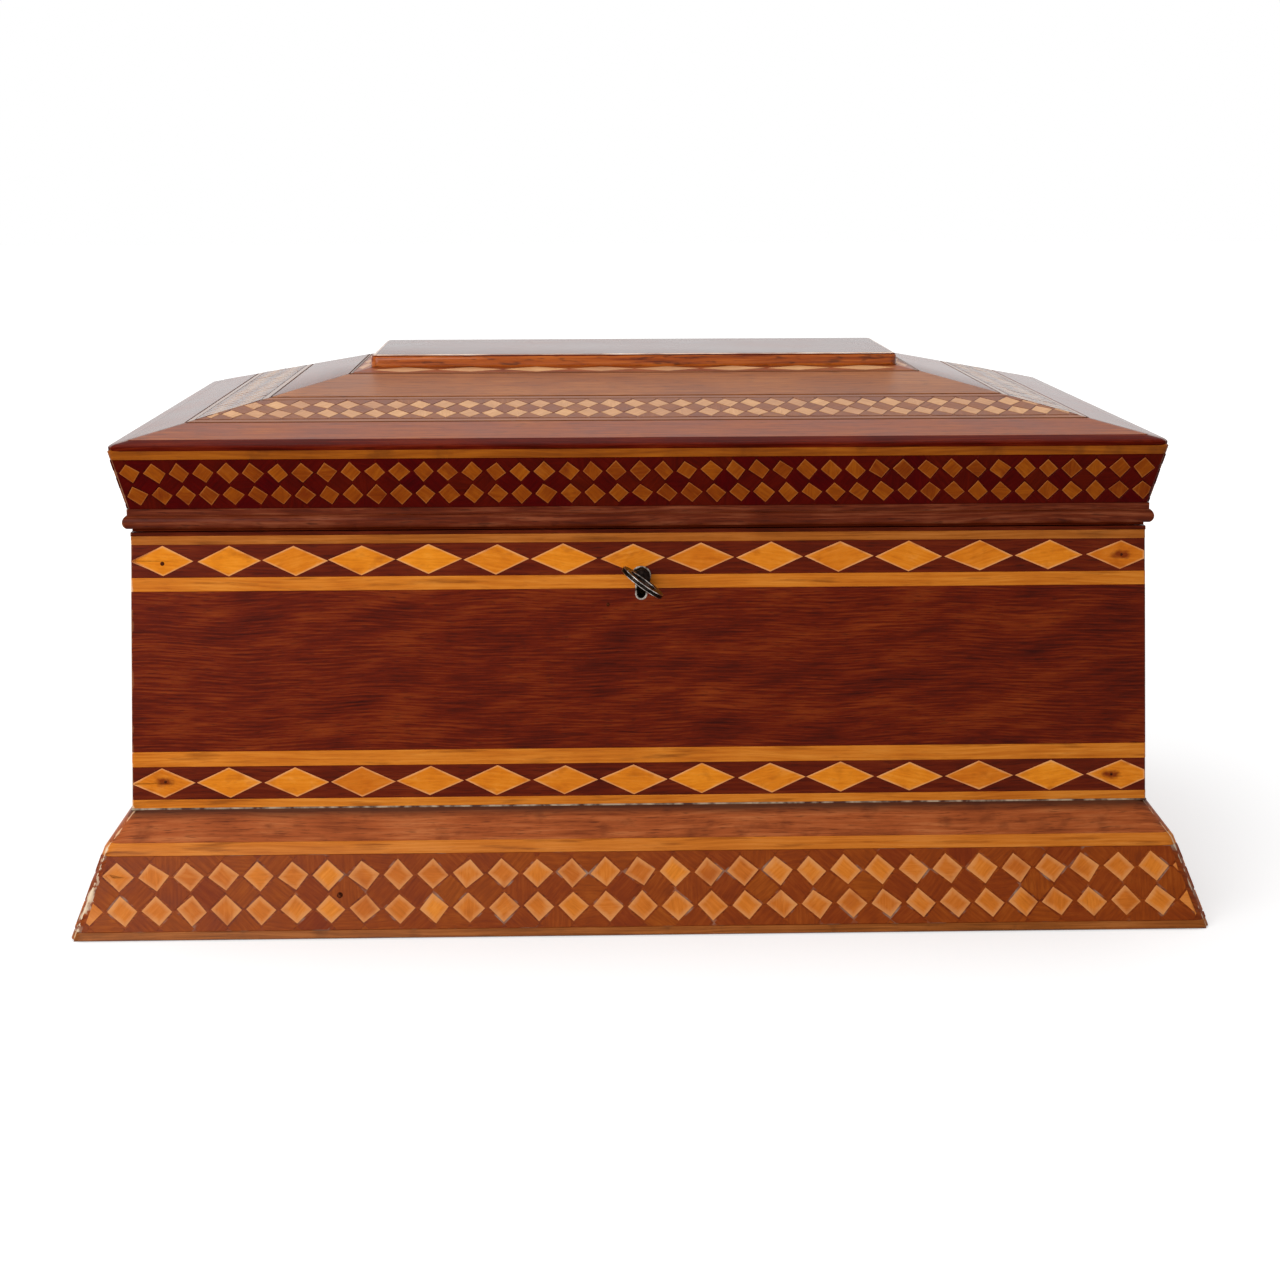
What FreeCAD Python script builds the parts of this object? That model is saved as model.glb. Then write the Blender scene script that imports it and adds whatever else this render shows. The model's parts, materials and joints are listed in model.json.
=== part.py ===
import FreeCAD, Part
import Sketcher
import math
import os
import re

# A sarcophagus-shaped marquetry box. +X is to the viewer's right, +Y to the back, +Z up.
# The origin is the middle of the base, on the surface that the box stands on.
# All four sides meet on vertical 45 degree mitre planes, so a moulding or leaf that runs
# round the box is one profile, given as distance out from the middle and height.

doc = FreeCAD.newDocument("marquetry_box")
sheet = doc.addObject("Spreadsheet::Sheet", "Dimensions")

# Driving dimensions in millimetres, or degrees where the name says angle
dimensions = {
    # carcass
    "base_width": 340.0,
    "base_depth": 238.0,
    "wall_thickness": 11.0,
    "wall_lean": 2.8,
    "seam_height": 119.2,
    "seam_gap": 0.3,
    "veneer": 1.2,
    "lipping_thickness": 1.1,
    "floor_clearance": 3.0,
    "bottom_thickness": 7.0,
    # plinth
    "plinth_height": 36.1,
    "plinth_inset": 17.2,
    "plinth_break_height": 25.8,
    "plinth_break_inset": 9.4,
    "plinth_veneer_lift": 0.45,
    "plinth_foot_string": 2.25,
    "break_string_below": 2.0,
    "break_string_above": 1.5,
    # wall bands
    "lower_outer_string": 2.6,
    "lower_band": 10.0,
    "lower_inner_string": 4.6,
    "upper_outer_string": 2.6,
    "upper_band": 9.8,
    "upper_inner_string": 4.1,
    # lid sides
    "bead_height": 4.8,
    "bead_step": 0.9,
    "bead_radius": 2.3,
    "bead_lift": 0.9,
    "fillet_height": 1.9,
    "frieze_step": 0.7,
    "frieze_flare": 4.7,
    "frieze_checker": 14.9,
    "frieze_string_width": 2.6,
    "arris_edge": 1.5,
    "arris_radius": 2.2,
    "arris_round": 1.4,
    # roof
    "roof_rise": 16.5,
    "roof_thickness": 8.0,
    "roof_seat_drop": 6.2,
    "roof_seat_depth": 11.0,
    "arris_band": 5.4,
    "roof_margin": 14.8,
    "roof_string": 2.7,
    "roof_checker": 17.2,
    "panel_string": 1.2,
    "panel_band": 5.1,
    "panel_depth": 66.2,
    "panel_height": 3.9,
    "panel_round": 1.5,
    # inlay
    "lozenge_pitch": 19.4,
    "lozenge_length": 17.0,
    "lozenge_margin": 1.0,
    "panel_lozenge_margin": 0.4,
    "plinth_square_pitch": 10.3,
    "plinth_square_margin": 1.2,
    "frieze_square_pitch": 7.05,
    "frieze_square_margin": 0.7,
    "roof_square_pitch": 7.2,
    "roof_square_margin": 0.7,
    "square_gap": 0.3,
    # keyhole and key
    "keyhole_drop": 13.8,
    "keyhole_radius": 2.4,
    "keyhole_slot_width": 2.6,
    "keyhole_slot_length": 6.8,
    "escutcheon_wall": 0.5,
    "escutcheon_proud": 0.25,
    "key_rest_angle": 143.7,
    "key_shank_radius": 2.0,
    "key_bit_radius": 5.6,
    "key_bit_width": 2.0,
    "key_collar_radius": 2.6,
    "key_collar_length": 4.2,
    "key_collar_gap": 0.8,
    "key_bow_radius": 7.1,
    "key_bow_hole_radius": 4.5,
    "key_bow_thickness": 1.4,
    # box lock
    "lock_width": 72.0,
    "lock_height": 31.0,
    "lock_plate_thickness": 1.2,
    "selvedge_thickness": 1.6,
    "selvedge_depth": 8.0,
    "lock_cap_width": 60.0,
    "lock_cap_wall": 1.0,
    "lock_cap_foot": 4.0,
    "lock_cavity": 4.8,
    "lock_clearance": 0.4,
    "bolt_thickness": 1.8,
    "bolt_lift": 3.9,
    "bolt_height": 3.3,
    "bolt_prong_height": 2.0,
    "bolt_prong_gap": 1.7,
    "bolt_riser": 3.0,
    "bolt_talon": 3.6,
    "bolt_talon_depth": 2.2,
    "bolt_side_gap": 0.6,
    "stud_radius": 0.8,
    "stud_offset": 9.6,
    "drill_pin_radius": 1.0,
    "running_clearance": 0.05,
    "spring_thickness": 0.6,
    "spring_start": 26.0,
    "spring_end": 9.0,
    "spring_drop": 5.0,
    # link plate on the lid
    "hook_spacing": 26.0,
    "hook_width": 2.0,
    "hook_depth": 4.0,
    "hook_drop": 6.2,
    "hook_eye_height": 2.8,
    "hook_eye_depth": 2.4,
    "hook_eye_floor": 1.0,
    "link_width": 48.0,
    "link_depth": 8.0,
    "link_thickness": 1.2,
    # butt hinges
    "hinge_spacing": 190.0,
    "hinge_length": 34.0,
    "leaf_depth": 9.0,
    "leaf_thickness": 1.5,
    "knuckle_radius": 1.9,
    "knuckle_gap": 0.3,
    "hinge_pin_radius": 1.0,
    "hinge_screw_spacing": 22.0,
    # wood screws
    "screw_head_radius": 1.7,
    "screw_head_height": 1.0,
    "screw_shank_radius": 0.9,
    "screw_length": 6.0,
}

for row, (name, number) in enumerate(dimensions.items(), start=1):
    sheet.set(f"A{row}", name)
    sheet.set(f"B{row}", str(number))
    sheet.setAlias(f"B{row}", name)
doc.recompute()


def in_document(text):
    """The same expression, with each dimension's name as an object outside the sheet has to write it."""
    def full_name(word):
        return f"Dimensions.{word[0]}" if word[0] in dimensions else word[0]
    return re.sub(r"[a-z_]+", full_name, text)


def bind(thing, prop, text):
    thing.setExpression(prop, in_document(text))


def value(text):
    return float(sheet.evalExpression(text))


# Levels of the outline: distances out from the middle, towards front or back, and heights
mitre_offset = "((base_width - base_depth) / 2)"
base_out = "(base_depth / 2)"
break_out = f"({base_out} - plinth_break_inset)"
foot_out = f"({base_out} - plinth_inset)"
top_out = f"({foot_out} - wall_lean)"
inner_out = f"({top_out} - wall_thickness)"
frieze_out = f"({top_out} + frieze_step)"
arris_out = f"({frieze_out} + frieze_flare)"
panel_out = "(panel_depth / 2)"

veneer_top = "(seam_height - lipping_thickness)"
lid_foot = "(seam_height + seam_gap)"
bead_top = f"({lid_foot} + bead_height)"
frieze_foot = f"({bead_top} + fillet_height)"
frieze_string_foot = f"({frieze_foot} + frieze_checker)"
arris_foot = f"({frieze_string_foot} + frieze_string_width)"
arris_height = f"({arris_foot} + arris_edge)"
roof_seat = f"({arris_height} - roof_seat_drop)"
panel_foot = f"({arris_height} + roof_rise)"

# Outer facets of one side, each from its lower edge to its upper edge
plinth_splay = ((base_out, "0"), (break_out, "plinth_break_height"))
plinth_bevel = ((break_out, "plinth_break_height"), (foot_out, "plinth_height"))
wall_face = ((foot_out, "plinth_height"), (top_out, "seam_height"))
frieze_face = ((frieze_out, frieze_foot), (arris_out, arris_height))
roof_face = ((arris_out, arris_height), (panel_out, panel_foot))


def facet_terms(facet):
    (low_out, low_height), (high_out, high_height) = facet
    run = f"({high_out} - {low_out})"
    rise = f"({high_height} - {low_height})"
    return run, rise, f"sqrt({run} * {run} + {rise} * {rise})"


def out_at(facet, height, depth="0"):
    """Distance out of a facet at a height, sunk square to the facet by a depth."""
    run, rise, slant = facet_terms(facet)
    low_out, low_height = facet[0]
    return f"({low_out} + ({height} - {low_height}) * {run} / {rise} - {depth} * {slant} / {rise})"


def height_at(facet, out, depth="0"):
    """Height of an inward sloping facet at a distance out, sunk square to it by a depth."""
    run, rise, slant = facet_terms(facet)
    low_out, low_height = facet[0]
    return f"({low_height} + ({out} - {low_out}) * {rise} / {run} + {depth} * {slant} / {run})"


def upright_leaf(facet, low, high):
    """Profile of a veneer leaf or string on a steep facet, cut level at two heights."""
    return [
        (out_at(facet, low), low),
        (out_at(facet, high), high),
        (out_at(facet, high, "veneer"), high),
        (out_at(facet, low, "veneer"), low),
    ]


def roof_leaf(outer, inner):
    """Profile of a leaf or string on the roof, cut plumb at two distances out."""
    return [
        (outer, height_at(roof_face, outer)),
        (inner, height_at(roof_face, inner)),
        (inner, height_at(roof_face, inner, "veneer")),
        (outer, height_at(roof_face, outer, "veneer")),
    ]


# The four sides: how far each is turned from the back, and the sign of its mitre offset
side_turns = {"front": 180, "back": 0, "left": 90, "right": -90}
side_signs = {"front": 1, "back": 1, "left": -1, "right": -1}


def side_rotation(side):
    return FreeCAD.Rotation(FreeCAD.Vector(0, 0, 1), side_turns[side])


def origin_plane(body, role):
    return next(plane for plane in body.Origin.OriginFeatures if plane.Role == role)


def add_sketch(body, name, role):
    sketch = body.newObject("Sketcher::SketchObject", name)
    sketch.AttachmentSupport = [(origin_plane(body, role), "")]
    sketch.MapMode = "FlatFace"
    return sketch


def pin_vertex(sketch, edge, across, up):
    """Hold the start of an edge at two bound distances from the sketch's origin."""
    for kind, text in (("DistanceX", across), ("DistanceY", up)):
        index = sketch.addConstraint(Sketcher.Constraint(kind, -1, 1, edge, 1, value(text)))
        bind(sketch, f"Constraints[{index}]", text)


def draw_outline(sketch, points, rounds=None):
    """Closed outline through bound points. rounds maps an edge's number to its arc radius."""
    rounds = rounds or {}
    spots = [FreeCAD.Vector(value(across), value(up), 0) for across, up in points]
    first = sketch.GeometryCount
    count = len(points)
    for number in range(count):
        start = spots[number]
        end = spots[(number + 1) % count]
        if number in rounds:
            radius = value(rounds[number])
            chord = end - start
            outward = FreeCAD.Vector(chord.y, -chord.x, 0).normalize()
            bulge = radius - math.sqrt(radius ** 2 - (chord.Length / 2) ** 2)
            middle = (start + end) * 0.5 + outward * bulge
            sketch.addGeometry(Part.Arc(start, middle, end))
        else:
            sketch.addGeometry(Part.LineSegment(start, end))
    for number in range(count):
        edge = first + number
        following = first + (number + 1) % count
        sketch.addConstraint(Sketcher.Constraint("Coincident", edge, 2, following, 1))
        pin_vertex(sketch, edge, *points[number])
    for number, radius in rounds.items():
        index = sketch.addConstraint(Sketcher.Constraint("Radius", first + number, value(radius)))
        bind(sketch, f"Constraints[{index}]", radius)


def mitred_piece(name, side, profile, rounds=None):
    """One side's board, moulding or leaf: a padded profile with both ends cut to the mitre."""
    sign = side_signs[side]
    shift = "0" if sign > 0 else mitre_offset
    offset = mitre_offset if sign > 0 else f"(0 - {mitre_offset})"
    outs = sorted((value(out), out) for out, height in profile)
    spare = "(veneer + bead_radius)"
    near = f"({outs[0][1]} + {shift} - {spare})"
    far = f"({outs[-1][1]} + {shift} + {spare})"

    body = doc.addObject("PartDesign::Body", name)
    section = add_sketch(body, f"{name}_section", "YZ_Plane")
    draw_outline(section, [(f"({out} + {shift})", height) for out, height in profile], rounds)
    pad = body.newObject("PartDesign::Pad", f"{name}_length")
    pad.Profile = section
    pad.SideType = "Symmetric"
    bind(pad, "Length", f"2 * ({far} + {offset})")

    ends = add_sketch(body, f"{name}_ends", "XY_Plane")
    for end in ("1", "-1"):
        corners = [
            (f"{end} * ({near} + {offset})", near),
            (f"{end} * ({far} + {offset} + {spare})", near),
            (f"{end} * ({far} + {offset} + {spare})", f"({far} + {spare})"),
        ]
        draw_outline(ends, corners)
    mitre = body.newObject("PartDesign::Pocket", f"{name}_mitres")
    mitre.Profile = ends
    mitre.SideType = "Symmetric"
    mitre.Type = "ThroughAll"
    body.Tip = mitre
    body.Placement = FreeCAD.Placement(FreeCAD.Vector(), side_rotation(side))
    return body


def part_box(name, low, high):
    """A box between two bound corners."""
    box = doc.addObject("Part::Box", name)
    for prop, axis, start, end in zip(("Length", "Width", "Height"), "xyz", low, high):
        bind(box, prop, f"({end}) - ({start})")
        bind(box, f"Placement.Base.{axis}", start)
    return box


def part_cylinder(name, radius, start, end, axis, place):
    """A cylinder along X or Y between two bound positions; place gives its other coordinates."""
    cylinder = doc.addObject("Part::Cylinder", name)
    turn = {"x": (FreeCAD.Vector(0, 1, 0), 90), "y": (FreeCAD.Vector(1, 0, 0), -90)}[axis]
    cylinder.Placement = FreeCAD.Placement(FreeCAD.Vector(), FreeCAD.Rotation(*turn))
    bind(cylinder, "Radius", radius)
    bind(cylinder, "Height", f"({end}) - ({start})")
    bind(cylinder, f"Placement.Base.{axis}", start)
    for other, text in place.items():
        bind(cylinder, f"Placement.Base.{other}", text)
    return cylinder


def fuse(name, shapes):
    joined = doc.addObject("Part::MultiFuse", name)
    joined.Shapes = shapes
    return joined


def cut(name, base, *tools):
    """Base less each tool in turn."""
    for number, tool in enumerate(tools):
        less = doc.addObject("Part::Cut", name if tool is tools[-1] else f"{name}_cut_{number}")
        less.Base = base
        less.Tool = tool
        base = less
    return base


def group(name, shapes):
    compound = doc.addObject("Part::Compound", name)
    compound.Links = shapes
    return compound


nodes = {}


def keep(name, thing):
    thing.Label = name
    nodes[name] = thing
    return thing


# Keyhole, cut through the front wall and whatever lies over it
key_height = "(seam_height - keyhole_drop)"
lock_back = f"(0 - {inner_out} - lock_plate_thickness)"
lock_front = f"({lock_back} - lock_cavity - lock_cap_wall)"
escutcheon_face = f"(0 - {out_at(wall_face, key_height)} - escutcheon_proud)"


def keyhole(name, margin, start, end):
    """A keyhole-shaped block: a round head with a slot hanging from it."""
    head = part_cylinder(f"{name}_head", f"keyhole_radius + {margin}", start, end, "y",
                         {"z": key_height})
    half = f"(keyhole_slot_width / 2 + {margin})"
    foot = f"({key_height} - keyhole_slot_length - {margin})"
    slot = part_box(f"{name}_slot", (f"0 - {half}", start, foot), (half, end, key_height))
    return fuse(name, [head, slot])


keyhole_way = keyhole("keyhole_way", "0", f"(0 - {base_out})", lock_back)
escutcheon_seat = keyhole("escutcheon_seat", "escutcheon_wall", f"(0 - {base_out})", lock_front)
escutcheon_blank = keyhole("escutcheon_blank", "escutcheon_wall", escutcheon_face, lock_front)
keep("escutcheon", cut("escutcheon_liner", escutcheon_blank, keyhole_way))


# Wood screws, each a countersunk head on a plain shank, pointing along one axis
screw_turns = {
    "-z": FreeCAD.Rotation(FreeCAD.Vector(1, 0, 0), 180),
    "+z": FreeCAD.Rotation(),
    "-y": FreeCAD.Rotation(FreeCAD.Vector(1, 0, 0), 90),
}


def screw(name, place, way):
    """place is the middle of the head's flat face; the shank runs the given way from it."""
    head = doc.addObject("Part::Cone", f"{name}_head")
    bind(head, "Radius1", "screw_head_radius")
    bind(head, "Radius2", "screw_shank_radius")
    bind(head, "Height", "screw_head_height")
    shank = doc.addObject("Part::Cylinder", f"{name}_shank")
    bind(shank, "Radius", "screw_shank_radius")
    bind(shank, "Height", "screw_length")
    whole = fuse(name, [head, shank])
    whole.Placement = FreeCAD.Placement(FreeCAD.Vector(), screw_turns[way])
    for axis, text in zip("xyz", place):
        bind(whole, f"Placement.Base.{axis}", text)
    return whole


# Butt hinges: the pin lies just behind the back wall, level with the middle of the seam
hinge_axis_out = f"({top_out} + knuckle_radius + knuckle_gap)"
hinge_axis_height = "(seam_height + seam_gap / 2)"
hinge_places = {"left": "(0 - hinge_spacing / 2)", "right": "(hinge_spacing / 2)"}
leaf_heights = {
    "lower": ("(seam_height - leaf_thickness)", "seam_height"),
    "upper": (lid_foot, f"({lid_foot} + leaf_thickness)"),
}
# Each knuckle's start and end, as shares of the hinge's length and of the gap between knuckles
knuckle_spans = {
    "lower": (("-1/2", "0", "-1/6", "-1/2"), ("1/6", "1/2", "1/2", "0")),
    "upper": (("-1/6", "1/2", "1/6", "-1/2"),),
}


def hinge_leaf(which, hand):
    """One leaf with its knuckles, bored for the pin and countersunk for its screws."""
    name = f"hinge_{which}_{hand}"
    middle = hinge_places[hand]
    low, high = leaf_heights[which]
    inner = f"({top_out} - leaf_depth)"
    shapes = [part_box(f"{name}_plate", (f"{middle} - hinge_length / 2", inner, low),
                       (f"{middle} + hinge_length / 2", top_out, high))]
    for number, (start, start_gap, end, end_gap) in enumerate(knuckle_spans[which]):
        first = f"({middle} + {start} * hinge_length + {start_gap} * knuckle_gap)"
        last = f"({middle} + {end} * hinge_length + {end_gap} * knuckle_gap)"
        place = {"y": hinge_axis_out, "z": hinge_axis_height}
        shapes.append(part_cylinder(f"{name}_knuckle_{number}", "knuckle_radius", first, last, "x", place))
        shapes.append(part_box(f"{name}_tab_{number}", (first, top_out, low), (last, hinge_axis_out, high)))
    bore = part_cylinder(f"{name}_bore", "hinge_pin_radius + running_clearance",
                         f"{middle} - hinge_length", f"{middle} + hinge_length", "x",
                         {"y": hinge_axis_out, "z": hinge_axis_height})
    return cut(name, fuse(f"{name}_blank", shapes), bore, hinge_screws[which])


def hinge_screw_set(which):
    """Two screws in each of the pair's leaves, driven into the wood that the leaf is let into."""
    face, way = {"lower": ("seam_height", "-z"), "upper": (lid_foot, "+z")}[which]
    screws = []
    for hand, middle in hinge_places.items():
        for number, sign in enumerate(("-", "+")):
            place = (f"{middle} {sign} hinge_screw_spacing / 2", f"({top_out} - leaf_depth / 2)", face)
            screws.append(screw(f"hinge_screw_{which}_{hand}_{number}", place, way))
    return group(f"hinge_screw_set_{which}", screws)


hinge_screws = {which: hinge_screw_set(which) for which in leaf_heights}
keep("hinge_screws_case", hinge_screws["lower"])
keep("hinge_screws_lid", hinge_screws["upper"])
for which in leaf_heights:
    leaves = [hinge_leaf(which, hand) for hand in hinge_places]
    keep(f"hinge_{which}_leaves", group(f"hinge_{which}_pair", leaves))
hinge_pins = [
    part_cylinder(f"hinge_pin_{hand}", "hinge_pin_radius", f"{middle} - hinge_length / 2",
                  f"{middle} + hinge_length / 2", "x", {"y": hinge_axis_out, "z": hinge_axis_height})
    for hand, middle in hinge_places.items()
]
keep("hinge_pins", group("hinge_pin_pair", hinge_pins))


def hinge_gains(which):
    """Shallow seats for a leaf in the edge that it is let into."""
    low, high = leaf_heights[which]
    gains = [
        part_box(f"hinge_gain_{which}_{hand}",
                 (f"{middle} - hinge_length / 2", f"{top_out} - leaf_depth", low),
                 (f"{middle} + hinge_length / 2", base_out, high))
        for hand, middle in hinge_places.items()
    ]
    return group(f"hinge_gains_{which}", gains)


lower_gains = hinge_gains("lower")
upper_gains = hinge_gains("upper")
knuckle_room = group("knuckle_room", [
    part_box(f"knuckle_room_{hand}",
             (f"{middle} - hinge_length / 2 - knuckle_gap", inner_out, "seam_height"),
             (f"{middle} + hinge_length / 2 + knuckle_gap", base_out,
              f"({hinge_axis_height} + knuckle_radius + knuckle_gap)"))
    for hand, middle in hinge_places.items()
])

# Box lock, let into the inside of the front wall
lock_inside = f"(0 - {inner_out})"
lock_foot = "(seam_height - lock_height)"
selvedge_foot = "(seam_height - selvedge_thickness)"
cap_foot = f"({lock_foot} + lock_cap_foot)"
half_lock = "(lock_width / 2)"
half_cap = "(lock_cap_width / 2)"
mechanism_middle = f"({lock_back} - lock_cavity / 2)"

lock_screw_out = f"(({half_lock} + {half_cap}) / 2)"
lock_screws = group("lock_screw_set", [
    screw(f"lock_screw_{level}_{hand}", (f"0 {hand_sign} {lock_screw_out}", lock_inside, height), "-y")
    for level, height in (("low", f"({lock_foot} + lock_cap_foot)"),
                          ("high", f"({selvedge_foot} - lock_cap_foot)"))
    for hand, hand_sign in (("left", "-"), ("right", "+"))
])
keep("lock_screws", lock_screws)

hook_places = ("(0 - hook_spacing / 2)", "(hook_spacing / 2)")
hook_slots = group("hook_slots", [
    part_box(f"hook_slot_{number}",
             (f"{place} - hook_width / 2 - lock_clearance",
              f"{mechanism_middle} - hook_depth / 2 - lock_clearance", selvedge_foot),
             (f"{place} + hook_width / 2 + lock_clearance",
              f"{mechanism_middle} + hook_depth / 2 + lock_clearance", "seam_height"))
    for number, place in enumerate(hook_places)
])
back_plate = part_box("lock_back_plate", (f"0 - {half_lock}", lock_back, lock_foot),
                      (half_lock, lock_inside, "seam_height"))
selvedge = part_box("lock_selvedge", (f"0 - {half_lock}", f"{lock_inside} - selvedge_depth", selvedge_foot),
                    (half_lock, lock_inside, "seam_height"))
plate_blank = fuse("lock_plate_blank", [back_plate, selvedge])
keep("lock_plate", cut("lock_plate_drilled", plate_blank, hook_slots, lock_screws))

cap_block = part_box("lock_cap_block", (f"0 - {half_cap}", lock_front, cap_foot),
                     (half_cap, lock_back, selvedge_foot))
cap_hollow = part_box("lock_cap_hollow",
                      (f"0 - {half_cap} + lock_cap_wall", f"{lock_front} + lock_cap_wall",
                       f"{cap_foot} + lock_cap_wall"),
                      (f"{half_cap} - lock_cap_wall", lock_back, selvedge_foot))
keep("lock_cap", cut("lock_cap_shell", cap_block, cap_hollow, keyhole_way))

lock_mortise = group("lock_mortise", [
    part_box("plate_recess", (f"0 - {half_lock}", lock_back, lock_foot), (half_lock, "0", lid_foot)),
    part_box("selvedge_recess", (f"0 - {half_lock}", f"{lock_inside} - selvedge_depth", selvedge_foot),
             (half_lock, "0", lid_foot)),
    part_box("cap_recess", (f"0 - {half_cap}", lock_front, cap_foot), (half_cap, "0", lid_foot)),
])

pin_front = f"({lock_front} + lock_cap_wall)"
keep("drill_pin", part_cylinder("drill_pin_rod", "drill_pin_radius", pin_front, lock_back, "y",
                                {"z": key_height}))

# Bolt: a bar with two nosed prongs, a talon that the key's bit pushes, and a slot for its stud
bolt_throw = "(2 * key_bit_radius * abs(cos(key_rest_angle * 1deg)))"
bolt_foot = f"({key_height} + bolt_lift)"
bolt_top = f"({bolt_foot} + bolt_height)"
prong_foot = f"({bolt_top} + bolt_prong_gap)"
prong_top = f"({prong_foot} + bolt_prong_height)"
nose_length = f"({bolt_throw} + lock_clearance)"
talon_middle = f"(0 - {bolt_throw} / 2)"


def prong_marks(place):
    """Riser start, riser end and nose tip of the prong that serves one hook, at rest."""
    tip = f"({place} - hook_width / 2 - bolt_side_gap)"
    riser = f"({tip} - {nose_length})"
    return f"({riser} - bolt_riser)", riser, tip


left_start, left_riser, left_tip = prong_marks(hook_places[0])
right_start, right_riser, right_tip = prong_marks(hook_places[1])
bolt_outline = [
    (left_start, bolt_foot),
    (f"({talon_middle} - bolt_talon / 2)", bolt_foot),
    (f"({talon_middle} - bolt_talon / 2)", f"({bolt_foot} + bolt_talon_depth)"),
    (f"({talon_middle} + bolt_talon / 2)", f"({bolt_foot} + bolt_talon_depth)"),
    (f"({talon_middle} + bolt_talon / 2)", bolt_foot),
    (right_riser, bolt_foot),
    (right_riser, prong_foot),
    (right_tip, prong_foot),
    (right_tip, prong_top),
    (right_start, prong_top),
    (right_start, bolt_top),
    (left_riser, bolt_top),
    (left_riser, prong_foot),
    (left_tip, prong_foot),
    (left_tip, prong_top),
    (left_start, prong_top),
]
stud_height = f"({bolt_foot} + bolt_height / 2)"
stud_place = "(0 - stud_offset)"
slot_half = "(stud_radius + running_clearance)"
slot_outline = [
    (f"({stud_place} - {bolt_throw} - stud_radius - lock_clearance)", f"({stud_height} - {slot_half})"),
    (f"({stud_place} + stud_radius + lock_clearance)", f"({stud_height} - {slot_half})"),
    (f"({stud_place} + stud_radius + lock_clearance)", f"({stud_height} + {slot_half})"),
    (f"({stud_place} - {bolt_throw} - stud_radius - lock_clearance)", f"({stud_height} + {slot_half})"),
]
bolt = doc.addObject("PartDesign::Body", "bolt")
bolt_section = add_sketch(bolt, "bolt_section", "XZ_Plane")
draw_outline(bolt_section, bolt_outline)
draw_outline(bolt_section, slot_outline)
bolt_pad = bolt.newObject("PartDesign::Pad", "bolt_plate")
bolt_pad.Profile = bolt_section
bolt_pad.SideType = "Symmetric"
bind(bolt_pad, "Length", "bolt_thickness")
bind(bolt, "Placement.Base.y", mechanism_middle)
keep("lock_bolt", bolt)
keep("bolt_stud", part_cylinder("bolt_stud_rod", "stud_radius", pin_front, lock_back, "y",
                                {"x": stud_place, "z": stud_height}))

# Leaf spring that lies under the bolt, its foot against the cap's end wall
spring_line = [
    (f"(lock_cap_wall - {half_cap})", f"({bolt_foot} - spring_drop)"),
    ("(0 - spring_start)", f"({bolt_foot} - spring_drop)"),
    ("(0 - spring_end)", f"({bolt_foot} - lock_clearance - spring_thickness)"),
]
spring_outline = spring_line + [
    (across, f"({up} + spring_thickness)") for across, up in reversed(spring_line)
]
spring = doc.addObject("PartDesign::Body", "spring")
spring_section = add_sketch(spring, "spring_section", "XZ_Plane")
draw_outline(spring_section, spring_outline)
spring_pad = spring.newObject("PartDesign::Pad", "spring_strip")
spring_pad.Profile = spring_section
spring_pad.SideType = "Symmetric"
bind(spring_pad, "Length", "bolt_thickness")
bind(spring, "Placement.Base.y", mechanism_middle)
keep("lock_spring", spring)

# Link plate under the lid's front rail, with two hooks that drop through the selvedge
link_top = f"({lid_foot} + link_thickness)"
link_screws = group("link_screw_set", [
    screw(f"link_screw_{hand}",
          (f"0 {sign} (hook_spacing + link_width) / 4", f"({lock_inside} - link_depth / 2)", lid_foot), "+z")
    for hand, sign in (("left", "-"), ("right", "+"))
])
keep("link_screws", link_screws)
link_bar = part_box("link_bar", ("0 - link_width / 2", f"{lock_inside} - link_depth", lid_foot),
                    ("link_width / 2", lock_inside, link_top))
hook_foot = "(seam_height - hook_drop)"
hooks = [
    part_box(f"hook_{number}",
             (f"{place} - hook_width / 2", f"{mechanism_middle} - hook_depth / 2", hook_foot),
             (f"{place} + hook_width / 2", f"{mechanism_middle} + hook_depth / 2", link_top))
    for number, place in enumerate(hook_places)
]
eyes = group("hook_eyes", [
    part_box(f"hook_eye_{number}",
             (f"{place} - hook_width", f"{mechanism_middle} - hook_eye_depth / 2",
              f"{hook_foot} + hook_eye_floor"),
             (f"{place} + hook_width", f"{mechanism_middle} + hook_eye_depth / 2",
              f"{hook_foot} + hook_eye_floor + hook_eye_height"))
    for number, place in enumerate(hook_places)
])
link_blank = fuse("link_blank", [link_bar] + hooks)
keep("link_plate", cut("link_plate_pierced", link_blank, eyes, link_screws))
link_recess = part_box("link_recess", ("0 - link_width / 2", f"{lock_inside} - link_depth", "seam_height"),
                       ("link_width / 2", "0", link_top))

# Key, drawn with its axis on Y and its bit towards +X, then turned to its angle at rest
key_tip = f"({lock_back} - lock_clearance)"
collar_start = f"({escutcheon_face} - key_collar_gap - key_collar_length)"
bow_middle = f"({collar_start} - sqrt(key_bow_radius * key_bow_radius - key_shank_radius * key_shank_radius))"
key_shank = part_cylinder("key_shank", "key_shank_radius", collar_start, key_tip, "y", {})
key_collar = part_cylinder("key_collar", "key_collar_radius", collar_start,
                           f"{collar_start} + key_collar_length", "y", {})
key_bit = part_box("key_bit", ("0", f"{pin_front} + lock_clearance", "0 - key_bit_width / 2"),
                   ("key_bit_radius", key_tip, "key_bit_width / 2"))


def bow_disc(name, radius):
    disc = doc.addObject("Part::Cylinder", name)
    bind(disc, "Radius", radius)
    bind(disc, "Height", "key_bow_thickness")
    bind(disc, "Placement.Base.y", bow_middle)
    bind(disc, "Placement.Base.z", "0 - key_bow_thickness / 2")
    return disc


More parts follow.
